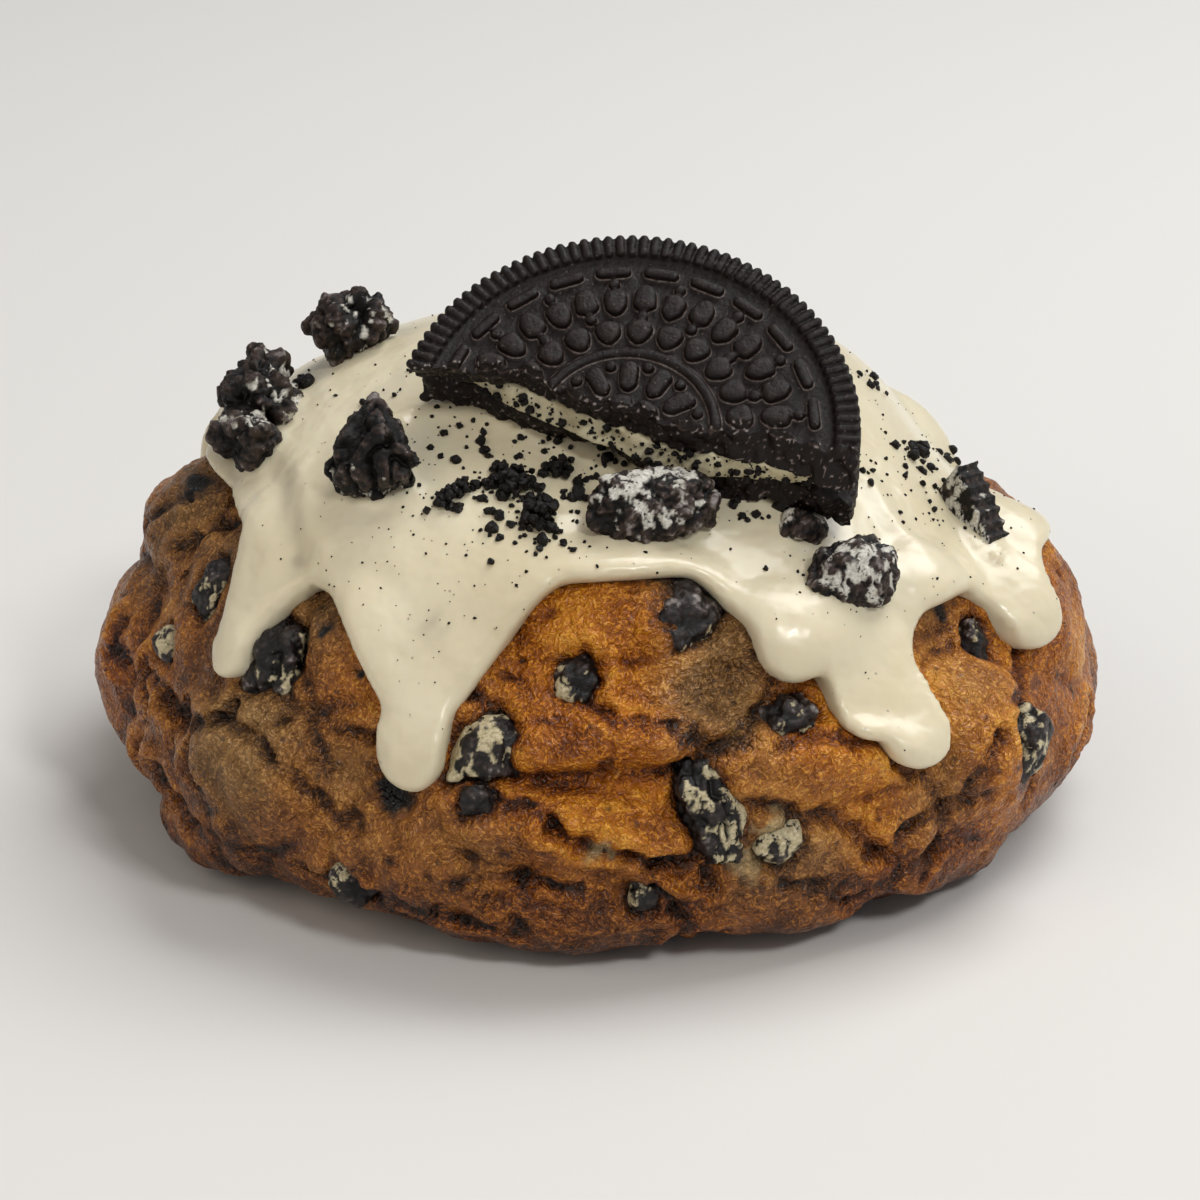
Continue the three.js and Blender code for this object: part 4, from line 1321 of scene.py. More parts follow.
SWELLS = table(
    Swell,
    (112, 43, 12, 3.3), (20, 6, 13, 3.3), (-52, 56, 9, 1.2), (-8, 46, 13, 0.9), (34, 62, 8, 1),
    (75, 40, 12, 1), (-95, 42, 12, 0.8),
    # Small ones that only show as shading.
    (-46, 61.7, 1.3, -0.7), (-30, 60, 5, 0.6), (37.2, 54.1, 2.2, -0.9), (61.4, 55, 3, 0.4),
    (69.5, 64, 4.5, -1.3), (-12, 56, 5, 0.4), (26, 66, 4, 0.4),
)
FLOWS = [
    Flow(-0.9, 1.8, ((-66.6, 54.6), (-59.6, 55.7), (-52.2, 58.1), (-46, 61.7))),
    Flow(0.5, 1.6, ((-57.9, 51.6), (-50.3, 54.3), (-43.9, 58.4))),
    Flow(0.7, 1.2, ((55.7, 48), (55.7, 50.6), (54, 55.2), (52.4, 59.8))),
    Flow(-0.6, 1.4, ((73.8, 63.4), (69.8, 66.4), (70.2, 68.4))),
    Flow(-0.6, 1.5, ((-79.5, 54), (-74.3, 56.8), (-63.9, 58.7))),
]
THIN_SPOTS = table(
    Swell,
    (-35.5, 66.8, 1.2, 0.3), (-21.8, 64.7, 1.6, 0.3), (-28.1, 50.9, 1.4, 0.2), (2.8, 60, 1.6, 0.2),
    (37.2, 54.1, 3.0, 0.6), (-46, 61.7, 0.8, 0.5),
)


@dataclass
class Icing:
    """The poured icing: a skin with a rounded lip, shaped as a shell and made even by a remesh."""

    dome: Dome
    thickness: float = 2.0
    lip: float = 0.8
    lip_width: float = 2.0
    soft_blend: float = 2.6
    stand_off: float = 0.35
    corner_blend: float = 1.5
    tip_back: float = 4.5
    tip_size: float = 3.8
    inset: float = 0.45  # how deep its underside lies in the dough
    column_step: float = 0.4
    outer_rows: int = 84
    inner_rows: int = 36
    voxel: float = 0.48
    collar: float = 0.4  # how high it climbs on the pieces that lie in it
    near: float = 3.0  # how far from such a piece it is looked for

    def rim(self, bearing: Array) -> Array:
        """The rim's polar angle, eased from each named place to the next.

        Args:
            bearing: The bearings.

        Returns:
            The polar angle on each.
        """
        ahead = (RIM[:, 0][:, None] - bearing[None, :]) % 360
        after = ahead.argmin(0)
        before = (after - 1) % len(RIM)
        span = (RIM[after, 0] - RIM[before, 0]) % 360
        share = smoothstep(0, 1, 1 - ahead.min(0) / span)
        return RIM[before, 1] + (RIM[after, 1] - RIM[before, 1]) * share

    def edge(self, bearing: Array) -> Array:
        """The polar angle where the icing ends: the poured rim, its funnels and its fingers.

        Args:
            bearing: The bearings.

        Returns:
            The polar angle on each.
        """
        rim = self.rim(bearing)
        edge = rim.copy()
        for drip in DRIPS:
            away = turn_between(drip.bearing, bearing)
            width = np.where(away < 0, drip.funnel_left, drip.funnel_right)
            edge = soft_max(edge, rim + drip.funnel * bump_of(away, width), self.corner_blend)
        for drip in DRIPS:
            away = turn_between(drip.bearing, bearing)
            share = np.abs(away) / np.where(away < 0, drip.left, drip.right)
            fall = (drip.left + drip.right) / 2 * (1 - np.sqrt(np.maximum(1 - share**2, 0)))
            edge = np.where(share < 1, soft_max(edge, drip.tip - fall, self.corner_blend), edge)
        return edge

    def bed(self, d: Array) -> Array:
        """The smooth bed that its surface follows, before its own thickness.

        Args:
            d: Unit directions from the heart.

        Returns:
            The reach along each.
        """
        soft = self.dome.lobed(d, self.soft_blend)[0] + self.stand_off
        tips = [Swell(drip.bearing, drip.tip - self.tip_back, self.tip_size, drip.swell) for drip in DRIPS]
        return soft + swell_height(SWELLS + tips, d, soft)

    def on_bed(self, bearing: Array, polar: Array) -> Array:
        """Points on the bed."""
        d = directions(bearing, polar)
        return HEART + d * self.bed(d)[:, None]

    def from_edge(self, points: Array) -> Array:
        """How far points on the bed are from the icing's edge.

        Args:
            points: The points.

        Returns:
            The distance of each.
        """
        fine = np.arange(0, 360, self.column_step / 2)
        border = KDTree(len(fine))
        for i, place in enumerate(self.on_bed(fine, self.edge(fine))):
            border.insert(place, i)
        border.balance()
        away = [border.find(place)[2] for place in points.reshape(-1, 3)]
        return np.array(away).reshape(points.shape[:-1])

    def shell(self) -> Piece:
        """The icing as a closed shell of columns and rows.

        Returns:
            The closed shell.
        """
        columns = np.arange(0, 360, self.column_step)
        edge = self.edge(columns)
        outer = np.linspace(0, 1, self.outer_rows + 1) ** 0.8
        inner = np.linspace(1, 0, self.inner_rows + 1)
        share = np.concatenate([outer, inner])
        piece, row, column = wrapped_grid(len(columns), len(share) - 1)
        d = directions(columns[None, :], share[:, None] * edge[None, :])
        bed = self.bed(d)
        top = HEART + d[: self.outer_rows + 1] * bed[: self.outer_rows + 1, :, None]
        crown = np.sqrt(1 - (1 - np.clip(self.from_edge(top) / self.lip_width, 0, 1)) ** 2)
        noise = Noise(31)
        rise = self.lip + (self.thickness - self.lip) * crown
        rise += crown * 0.22 * noise.waves(top, 12)
        for flow in FLOWS:
            path = self.on_bed(*np.array(flow.path).T)
            rise += crown * flow.proud * bump_of(path_distance(noise.shift(top, 6, 0.8), path), flow.width)
        reach = np.concatenate(
            [bed[: self.outer_rows + 1] + rise, self.dome.reach(d[self.outer_rows + 1 :]) - self.inset]
        )
        points = HEART + d * reach[..., None]
        for pole in (0, -1):
            points[pole] = points[pole].mean(0)
        move_to(piece, points[row, column])
        close_seams(piece, 0.001)
        return piece

    def build(self, material: Material) -> Piece:
        """Builds the icing.

        Args:
            material: Its finish.

        Returns:
            The piece.
        """
        piece = self.shell()
        remesh(piece, self.voxel, 6)
        places, normals = places_of(piece), normals_of(piece)
        for node in TOPPING_NODES + ["biscuit_lower_wafer", "biscuit_upper_wafer"]:
            form = copy_of_node(node)
            box = places_of(form)
            near = near_box(places, box.min(0), box.max(0), self.near)
            away = distances_to(tree_of(form), places[near], self.near)
            places[near] += (self.collar * bump_of(np.maximum(away, 0), 0.9))[:, None] * normals[near]
            bpy.data.objects.remove(form)
        move_to(piece, places)
        out = places - HEART
        d = out / np.linalg.norm(out, axis=1, keepdims=True)
        noise = Noise(5)
        thin = swell_height(THIN_SPOTS, d, np.linalg.norm(out, axis=1))
        paint(piece, "thin", thin * (0.8 + 0.6 * noise.waves(places, 1.2)))
        return finish_piece(piece, "poured_icing", "icing", material, ["icing"])


# ---- The half sandwich biscuit ----


def biscuit_pose() -> Matrix:
    """The pose of the sandwich: its upper face at z = 0, the break along X, the rim towards +Y.

    Returns:
        The pose, as a matrix.
    """
    centre, lean, facing, roll = (2.3, -27.5, 48.5), 53.4, -3.6, -16.4
    normal = directions(facing, 90 - lean)
    level = directions(facing + 90, 90)
    rise = np.cross(normal, level)
    basis = Matrix(np.stack([level, rise, normal], 1).tolist()).to_4x4()
    shift = HEART * np.array([1, 1, 0])
    return Matrix.Translation(Vector(shift + centre)) @ basis @ Matrix.Rotation(math.radians(roll), 4, "Z")


def cut_half(piece: Piece, at: float) -> None:
    """Keeps what lies past a place along Y, and closes the cut."""
    with editing(piece):
        bpy.ops.mesh.bisect(plane_co=(0, at, 0), plane_no=(0, 1, 0), use_fill=True, clear_inner=True)


class Motif(Enum):
    """The raised motifs of a wafer's face: half length, half width, height and how much it widens."""

    DOT = (0.58, 0.58, 0.8, 0.0)
    DASH = (1.75, 0.56, 0.8, 0.0)
    WEDGE = (1.5, 1.12, 0.95, 0.35)
    BLOCK = (1.35, 1.25, 0.95, 0.3)
    LEAF = (1.7, 0.9, 0.9, 0.25)


@dataclass(frozen=True)
class BreakLine:
    """Where a layer broke: places along it and how far past the middle, on its outer and inner face."""

    outer: Path
    inner: Path

    def at(self, x: Array, depth: Array) -> Array:
        """How far past the middle it broke.

        Args:
            x: Places along the break.
            depth: 0 on the outer face and 1 on the inner one.

        Returns:
            The distances.
        """
        outer = np.interp(x, *np.array(self.outer).T)
        return outer + (np.interp(x, *np.array(self.inner).T) - outer) * np.clip(depth, 0, 1)


UPPER_BREAK = BreakLine(
    (
        (-21, -0.1), (-17, 1.7), (-11.4, 3.1), (-5, 2.1), (0, 2),
        (2.7, 1.7), (8, 2.5), (13, 4.2), (19, 4.5), (21.5, 3.5),
    ),
    (
        (-21, 1.6), (-16, 2.1), (-11, 3), (-6.6, 2), (0, 1.5),
        (3, 0.9), (8, 1.1), (13, 1.9), (17, 1.6), (18.5, 1.2),
    ),
)
CREAM_BREAK = BreakLine(
    (
        (-17, 3.4), (-13.5, 2.9), (-11, 2.6), (-6.6, 1.8), (0, 1.3),
        (3, 0.8), (8, 1), (13, 1.8), (17, 1.6), (18.5, 2),
    ),
    (
        (-16.5, 3.3), (-13.5, 2), (-10, 1.2), (-6, 0.6), (-1, 0),
        (5, -0.4), (9, 0.2), (12, 1), (15, 1.7), (18, 2.3),
    ),
)
LOWER_BREAK = BreakLine(
    (
        (-21.3, 0.5), (-18.7, 0.7), (-13.6, 1), (-10, -0.3), (0, 1.1),
        (1.7, 1.9), (4.5, 2.4), (9, 1.3), (17, 1.9),
    ),
    (
        (-21, 1.4), (-15, 2.2), (-9, 1), (-5, 0.4), (1, 0.7),
        (6, 1.2), (10, 1.7), (13.5, 2.4), (17, 3.4),
    ),
)


@dataclass
class Wafer:
    """One wafer of the sandwich: ridged rim, sunk field with pressed motifs, and a crumbled break."""

    radius: float = 22.3
    core_radius: float = 21.9
    thickness: float = 3.1
    ridges: int = 58
    ridge_length: float = 2.5
    ridge_width: float = 0.88
    band_drop: float = 0.55
    field_drop: float = 0.8
    field_radius: float = 19.6
    slope: float = 0.3  # how wide the step down to the field is
    ring_radius: float = 8.6
    ring_thickness: float = 0.6  # half of it
    voxel: float = 0.165
    lowest: float = -0.6  # how far before the middle the unbroken form goes
    crumble: float = 0.8  # depth of the knobs on its broken face
    crumble_size: float = 1.3
    crumb: float = 0.4  # and of the smaller ones between them
    crumb_size: float = 0.7

    def core(self) -> Piece:
        """The plain half disc with its sunk field.

        Returns:
            The half disc.
        """
        bpy.ops.mesh.primitive_cylinder_add(
            vertices=128,
            radius=self.core_radius,
            depth=self.thickness - self.band_drop,
            location=(0, 0, -(self.thickness + self.band_drop) / 2),
        )
        piece = bpy.context.object
        apply_place(piece)
        with editing(piece):
            bpy.ops.mesh.select_all(action="DESELECT")
        for face in piece.data.polygons:
            face.select = face.normal.z > 0.9
        with editing(piece, select=False):
            bpy.ops.mesh.inset(thickness=self.core_radius - self.field_radius - self.slope)
            bpy.ops.mesh.inset(thickness=self.slope)
            bpy.ops.transform.translate(value=(0, 0, self.band_drop - self.field_drop))
        cut_half(piece, self.lowest)
        return piece

    def ridge(self) -> Form:
        """One rounded ridge of the rim, lying along +X at the rim.

        Returns:
            The ridge's form.
        """
        middle = self.radius - self.ridge_length / 2
        bpy.ops.mesh.primitive_cube_add(size=1, location=(middle, 0, -self.thickness / 2))
        piece = bpy.context.object
        piece.scale = (self.ridge_length, self.ridge_width, self.thickness - 0.1)
        apply_place(piece)
        apply_modifier(piece, "BEVEL", width=0.38, segments=4)
        return form_of(piece)

    def motif(self, motif: Motif) -> Form:
        """One pressed motif at the middle of the field, long along +X, with a flat top and steep sides.

        Args:
            motif: Which one.

        Returns:
            The motif's form.
        """
        length, width, height, widens = motif.value
        bpy.ops.mesh.primitive_uv_sphere_add(segments=24, ring_count=14, radius=1)
        places, faces = form_of(bpy.context.object)
        places /= ((places[:, 0] ** 2 + places[:, 1] ** 2) ** 2 + places[:, 2] ** 4)[:, None] ** 0.25
        x = places[:, 0]
        places[:, 1] *= width * (1 + widens * x)
        places[:, 0] = x * width + np.sign(x) * (length - width)
        places[:, 2] = places[:, 2] * height - self.field_drop
        return places, faces

    def layout(self) -> Iterator[tuple[Motif, float, float, float]]:
        """The pressed pattern: each motif with its distance from the middle, its angle and its own turn.

        Yields:
            A motif, its distance, its angle and its turn.
        """
        for i in range(24):
            yield Motif.DASH, 17.9, 360 * (i + 0.5) / 24, 90
        for i in range(32):
            angle = 360 * i / 32
            yield Motif.WEDGE, 14.9 if i % 2 else 14.3, angle, 180 * (i % 2)
            yield Motif.DOT, 16.5 if i % 2 == 0 else 12.7, angle, 0
        for i in range(23):
            yield Motif.BLOCK, 10.9, 360 * (i + 0.5) / 23, 0
        for i in range(12):
            angle = 360 * (i + 0.5) / 12
            yield Motif.LEAF, 5.7, angle, 0
            yield Motif.DOT, 7.0, angle + 15, 0
        for i in range(6):
            yield Motif.BLOCK, 2.3, 60 * i, 0

    def ring(self) -> Form:
        """The raised ring between the pressed motifs.

        Returns:
            The ring's form.
        """
        radii = {"major_radius": self.ring_radius, "minor_radius": self.ring_thickness}
        bpy.ops.mesh.primitive_torus_add(major_segments=96, minor_segments=10, **radii)
        places, faces = form_of(bpy.context.object)
        return places + np.array([0, 0, -self.field_drop]), faces

    def pressed(self) -> Piece:
        """The whole wafer before it is broken unevenly: core, ridges and motifs as one skin.

        Returns:
            The wafer.
        """
        core = self.core()
        all_places, all_faces = [], []
        count = 0

        def add(form: Form, angle: float, out: float = 0.0, turn: float = 0.0) -> None:
            """Adds a turned copy of a form, flattened where it would cross the lowest line.

            Args:
                form: The form.
                angle: Its angle round the wafer.
                out: Its distance from the middle.
                turn: Its own turn.
            """
            nonlocal count
            places, faces = form
            placed = places @ np.array(Matrix.Rotation(math.radians(turn), 3, "Z")).T + np.array([out, 0, 0])
            placed = placed @ np.array(Matrix.Rotation(math.radians(angle), 3, "Z")).T
            if placed[:, 1].max() < self.lowest + 0.3:
                return
            placed[:, 1] = np.maximum(placed[:, 1], self.lowest)
            all_places.append(placed)
            all_faces.extend([[v + count for v in face] for face in faces])
            count += len(placed)

        ridge = self.ridge()
        for i in range(-2, self.ridges + 2):
            add(ridge, 180 * (i + 0.5) / self.ridges)
        motifs = {motif: self.motif(motif) for motif in Motif}
        for motif, out, angle, turn in self.layout():
            add(motifs[motif], angle, out, turn)
        add(self.ring(), 0)
        detail = mesh_piece("wafer_detail", np.concatenate(all_places), all_faces)
        select_only(core, detail)
        bpy.ops.object.join()
        remesh(core, self.voxel, 1)
        return core

    def breaker(self, line: BreakLine, noise: Noise) -> Piece:
        """The block that is cut away to break the wafer; its face is crumbly.

        Args:
            line: Where the wafer broke.
            noise: The noise of the crumbled face.

        Returns:
            The block, which is removed after the cut.
        """
        bpy.ops.mesh.primitive_grid_add(x_subdivisions=230, y_subdivisions=26, size=2)
        piece = bpy.context.object
        with editing(piece):
            bpy.ops.mesh.extrude_region_move(TRANSFORM_OT_translate={"value": (0, 0, -1)})
        flat = places_of(piece)
        x, z = 24 * flat[:, 0], 3 * flat[:, 1] - self.thickness / 2
        face = line.at(x, -z / self.thickness)
        points = np.stack([x, face * 0.3, z], 1)
        bent = noise.shift(points, 1.6, 0.5)
        knobs = noise.pebbles(bent, self.crumble_size) - 0.6
        face += 0.4 * noise.waves(bent, 3.4, 2) - self.crumble * knobs
        face -= self.crumb * (noise.pebbles(points, self.crumb_size) - 0.6)
        # Its upper edge has crumbled away a little more.
        face += 0.4 * smoothstep(-0.6, 0.1, z) * (1 + noise.waves(points, 1.1))
        move_to(piece, np.stack([x, np.where(flat[:, 2] > -0.5, face, -5), z], 1))
        close_seams(piece, 0.0001)
        return piece

    def broken(self, pressed: Piece, line: BreakLine, seed: int) -> Piece:
        """A copy of the pressed wafer, broken along its line and given its baked grain.

        Args:
            pressed: The pressed wafer.
            line: The line of its break.
            seed: The seed of its grain.

        Returns:
            The broken copy.
        """
        piece = pressed.copy()
        piece.data = pressed.data.copy()
        bpy.context.scene.collection.objects.link(piece)
        noise = Noise(seed)
        block = self.breaker(line, noise)
        apply_modifier(piece, "BOOLEAN", object=block, operation="DIFFERENCE", solver="EXACT")
        bpy.data.objects.remove(block)
        places, normals = places_of(piece), normals_of(piece)
        past = places[:, 1] - line.at(places[:, 0], -places[:, 2] / self.thickness)
        edge = smoothstep(0.9, 0.3, past)
        grain = 0.05 * noise.waves(places, 1.3, 2) + 0.025 * noise.waves(places, 0.45)
        # A fine bright line is painted at the foot of each motif in the field: a painted highlight along
        # those corners.
        foot = bump_of(places[:, 2] + self.field_drop - 0.14, 0.13) * smoothstep(0.99, 0.8, normals[:, 2])
        foot *= np.hypot(places[:, 0], places[:, 1]) < self.field_radius
        # Paler on the raised outer face and motif tops, as wear and as painted light, plus the grain and the
        # painted lines at the motifs' feet.
        wear_and_sheen = smoothstep(-0.5, 0.02, places[:, 2]) * 0.22 + 1.6 * grain + 0.8 * foot
        # Painted glints of sugar on the broken face.
        painted_glint = smoothstep(0.86, 0.94, noise.pebbles(places, 0.6)) * edge
        places += grain[:, None] * normals
        move_to(piece, places)
        paint(piece, "edge", 0.1 + wear_and_sheen - 0.2 * edge + painted_glint)
        paint(piece, "cream", np.zeros(len(places)))
        return piece


@dataclass
class Sandwich:
    """The half sandwich biscuit: two wafers with cream between them."""

    gap: float = 0.3
    cream_space: float = 1.9  # what the solid cream fills between the gaps
    cream_radius: float = 17.8
    cream_thickness: float = 2.2
    cream_shift: float = 0.8

    def build(self, biscuit: Material, filling: Material) -> list[Piece]:
        """Builds the three layers.

        Args:
            biscuit: The finish of the wafers.
            filling: The finish of the cream.

        Returns:
            The upper wafer, the cream and the lower wafer.
        """
        wafer = Wafer()
        pressed = wafer.pressed()
        pose = Matrix.Scale(MM, 4) @ biscuit_pose()
        depth = 2 * wafer.thickness + self.cream_space + 2 * self.gap
        upper = wafer.broken(pressed, UPPER_BREAK, 3)
        upper.data.transform(pose)
        lower = wafer.broken(pressed, LOWER_BREAK, 9)
        lower.data.transform(pose @ Matrix.Translation((0, 0, -depth)) @ Matrix.Rotation(math.pi, 4, "Y"))
        bpy.data.objects.remove(pressed)
        cream = self.cream(wafer)
        cream.data.transform(pose)
        return [
            finish_piece(upper, "upper_wafer", "wafer", biscuit, ["biscuit_upper_wafer"], 1),
            finish_piece(cream, "cream_layer", "cream", filling, ["biscuit_cream"], 1),
            finish_piece(lower, "lower_wafer", "wafer", biscuit, ["biscuit_lower_wafer"], 1),
        ]

    def cream(self, wafer: Wafer) -> Piece:
        """The cream, torn unevenly where the biscuit broke.

        Args:
            wafer: The wafer that it follows.

        Returns:
            The cream.
        """
        middle = -wafer.thickness - self.gap - self.cream_space / 2
        bpy.ops.mesh.primitive_cylinder_add(
            vertices=96,
            radius=self.cream_radius,
            depth=self.cream_thickness,
            location=(self.cream_shift, 0, middle),
        )
        piece = bpy.context.object
        apply_place(piece)
        cut_half(piece, 0)
        remesh(piece, 0.24, 2)
        noise = Noise(21)
        places, normals = places_of(piece), normals_of(piece)
        near = smoothstep(8, 0, places[:, 1])
        depth = (middle + self.cream_thickness / 2 - places[:, 2]) / self.cream_thickness
        tear = 0.35 * noise.waves(places * np.array([1, 0.2, 0.7]), 3.5, 2)
        places[:, 1] += near * (CREAM_BREAK.at(places[:, 0], depth) + tear)
        places += (near * 0.13 * noise.waves(places, 0.9, 2))[:, None] * normals
        move_to(piece, places)
        return piece


# ---- Broken biscuit pieces ----


@dataclass(frozen=True)
class Crumble:
    """How a broken piece looks: its knobs, its grain and folds, and how cream is smeared on it."""

    knob: float = 2.2  # the size of its knobs
    knob_height: float = 1.0
    grain: float = 0.2
    cream: float = -2.0  # how much of it is covered: -2 for none, 0 for half, 1 for nearly all
    towards: tuple[float, float, float] = (0.0, 0.0, 1.0)  # the side that the cream is on
    patch: float = 1.6  # the size of the cream's patches
    folds: float = 0.0  # the depth of its slanting folds


UP, LEFT = (0, 0, 1), (-1, 0, 0)
# In the order of the nodes' names; the baked pieces after the fourteenth share the look of the far side.
TOPPING_LOOKS = table(
    Crumble,
    (1.9, 0.7, 0.25, -1.5, (0, -0.5, -1), 0.9, 0.9), (2.2, 2.3, 0.35, -1.15, (0.3, -0.3, 0.6), 1.3),
    (2.2, 2.3, 0.35, -0.75, (0.8, -0.4, -0.5), 1.4), (2.2, 2.1, 0.35, -1.1, UP, 1.2),
    (1.5, 1.0, 0.45, -0.85, (0.1, -0.2, 1), 1.5), (1.7, 1.2, 0.45, -0.85, (0.6, -0.6, 0.5), 1.5),
    (1.6, 0.9, 0.3, -0.9, (-1, -0.3, 0.5), 1.4), (1.3, 0.1, 0.1, -0.6, (-1, -0.3, 0.2), 1.3),
)
BAKED_LOOKS = table(
    Crumble,
    (2.4, 0.9, 0.14, -0.9, (0.7, -0.6, -0.2), 1.3, 0.3),
    (2.4, 0.9, 0.14, -0.8, (-0.2, -0.6, -0.6), 1.3), (2.0, 0.6, 0.1, -0.2, (0.4, -0.4, 0.8), 1.2),
    (2.4, 0.6, 0.1, -0.35, (-1, -0.4, 0.4), 1.9), (1.6, 0.3, 0.1),
    (2.2, 0.9, 0.14, -0.9, (-1, -0.2, 0.5), 1.4), (1.8, 0.6, 0.1, -0.6, (-0.8, -0.4, -0.9), 1.4),
    (2.6, 0.9, 0.16, -1.1, (0, -0.4, -1), 1.2), (1.8, 0.9, 0.2, -1.0, (0.4, -0.6, -0.4), 1.0),
    (2.4, 0.9, 0.14, -0.85, (1, -0.4, -0.2), 1.2, 0.4), (1.4, 0.45, 0.1, -0.4, LEFT, 1.1),
    (1.6, 0.5, 0.14, -1.2, UP, 1.2), (2.2, 0.9, 0.16, -0.9, (0.6, -0.5, 0.6), 1.3),
    (2.0, 0.75, 0.12, 0.4, UP, 2.0),
)
FAR_LOOK = Crumble(2.1, 0.6, 0.14, -0.8, UP, 1.4, 0.2)


@dataclass
class BrokenPieces:
    """The broken biscuit pieces, in the icing and baked into the dough, shaped from their solids."""

    voxel: float = 0.2
    soften: int = 1

    def shape(self, node: str, look: Crumble, seed: int) -> Piece:
        """Turns a node's plain block into a crumbled piece.

        Args:
            node: The CAD node.
            look: How it looks.
            seed: The seed of its noise.

        Returns:
            The piece, in millimetres.
        """
        piece = copy_of_node(node)
        ridged = node == "topping_rim_piece"
        remesh(piece, self.voxel, 2 if ridged else self.soften)
        noise = Noise(seed)
        places, normals = places_of(piece), normals_of(piece)
        if ridged:  # it lies lower on the dome than its solid, and on the icing more than in it
            middle = places.mean(0)
            move = 1.9 * directions(69.6, 151) + 0.9 * directions(69.6, 61)
            places = middle + 1.15 * (places - middle) + move
        bent = noise.shift(places, 2.0, 0.6)
        knobs = noise.pebbles(bent, look.knob) - 0.5
        lift = look.knob_height * (knobs + 0.3 * noise.waves(bent, 1.6 * look.knob))
        lift += 0.35 * look.knob_height * (noise.pebbles(bent, 0.4 * look.knob) - 0.5)
        grain = noise.pebbles(noise.shift(places, 0.8, 0.25), 0.65) - 0.5
        lift += look.grain * grain - 0.2 * look.knob_height
        slant = bent @ np.array([[1.0, 0.3, 0.5], [-0.3, 1.0, 0.1], [-0.25, 0.0, 0.5]])
        lift -= look.folds * bump_of(noise.waves(slant, 2.6), 0.16)
        side = np.array(look.towards, float)
        side /= np.linalg.norm(side)
        streaks = noise.waves(noise.shift(places * np.array([1, 1, 0.6]), 1.1, 0.7), look.patch, 3)
        veil = 1.3 * streaks + normals @ side + look.cream
        cream = smoothstep(0, 0.14, veil)
        places += (lift * (1 - 0.5 * cream) + 0.1 * cream)[:, None] * normals
        move_to(piece, places)
        paint(piece, "cream", cream)
        # The knobs are painted paler on their tops, as wear and as painted light, and darker in the hollows
        # and folds between them, as painted shade.
        fine = 0.35 * noise.waves(places, 0.55, 2)
        paint(piece, "edge", 0.25 + 0.9 * lift / max(look.knob_height, 0.3) + fine)
        return piece

    def build(self, loose: Material, baked: Material) -> list[Piece]:
        """Builds all broken pieces.

        Args:
            loose: The finish of those in the icing.
            baked: The finish of those in the dough.

        Returns:
            The pieces.
        """
        made = []
        kinds = (
            (TOPPING_NODES, TOPPING_LOOKS, 100, ("topping_", "broken_"), "topping_chunk", loose),
            (BAKED_NODES, BAKED_LOOKS, 200, ("dough_", "baked_"), "baked_chunk", baked),
        )
        for nodes, looks, seed, rename, slot, finish in kinds:
            for i, node in enumerate(nodes):
                piece = self.shape(node, looks[i] if i < len(looks) else FAR_LOOK, seed + i)
                made.append(finish_piece(piece, node.replace(*rename), slot, finish, [node]))
        return made


# ---- Crumbs ----


@dataclass(frozen=True)
class Cluster:
    """Crumbs lying together: their middle, spread and number, and their smallest and largest size."""

    bearing: float
    polar: float
    spread: float
    count: int
    small: float
    large: float


# The seven largest crumbs, which the solid icing carries too: bearing, polar angle and size.
LARGE_CRUMBS = [
    (-17, 44, 3.6), (-10, 39, 2.6), (-10.5, 49, 3.2), (-26.5, 46.5, 2), (-27.5, 48.5, 1.8), (-22, 41.5, 1.4),
    (-21.5, 44, 1.5),
]
CRUMB_CLUSTERS = table(
    Cluster,
    (-15.5, 45.2, 2.6, 34, 0.3, 1.5), (-9.3, 40.3, 1.8, 16, 0.3, 1.3), (-9.7, 50.6, 2.4, 48, 0.3, 1.4),
    (-26.3, 47.7, 2.0, 12, 0.3, 1.1), (-22, 42, 2.4, 10, 0.3, 1.0), (-55.9, 31.9, 4.0, 14, 0.25, 0.8),
    (-44.2, 30.5, 4.0, 14, 0.25, 0.8), (-24, 35.6, 4.0, 22, 0.3, 1.2), (-8.4, 38.9, 3.0, 22, 0.3, 1.2),
    (0, 39, 2.5, 16, 0.3, 1.0), (25.7, 46.4, 1.8, 24, 0.4, 1.6), (33.7, 43.3, 1.6, 10, 0.3, 1.2),
    (-88.7, 43.6, 0.8, 5, 0.6, 1.6), (77.4, 53.2, 1.0, 16, 0.4, 1.5), (103.7, 63.9, 0.9, 8, 0.4, 1.2),
    (92.6, 43, 1.2, 10, 0.3, 0.9), (73.6, 48.8, 0.7, 5, 0.3, 0.9), (57.1, 49.1, 1.3, 12, 0.3, 0.9),
    (72, 56, 2.2, 26, 0.2, 0.9), (66.1, 61.3, 1.8, 14, 0.2, 0.8), (56, 54, 1.4, 6, 0.25, 0.6),
    (31, 61, 2.2, 8, 0.3, 0.8),
)
SPECK_CLUSTERS = table(
    Cluster,
    (-25.7, 57, 9, 60, 0.12, 0.32), (-33.4, 52.7, 6, 26, 0.12, 0.32), (-12, 47, 6, 60, 0.12, 0.35),
    (-24, 38, 9, 70, 0.12, 0.4), (-21.5, 64.7, 1.4, 9, 0.15, 0.35), (-36, 58, 2.2, 9, 0.15, 0.35),
    (28, 62, 8, 34, 0.12, 0.3), (55, 58, 8, 60, 0.12, 0.35), (75, 52, 9, 60, 0.12, 0.35),
    (-80, 38, 9, 50, 0.12, 0.4), (85, 35, 12, 50, 0.12, 0.35), (180, 30, 22, 170, 0.12, 0.45),
    (150, 50, 16, 60, 0.12, 0.4), (-140, 48, 16, 60, 0.12, 0.4),
)
Grain = tuple[Vector, Vector, float]  # its place, the direction out of the ground, and its size
ABOVE_ALL = 80.0  # farther from the heart than anything, in millimetres


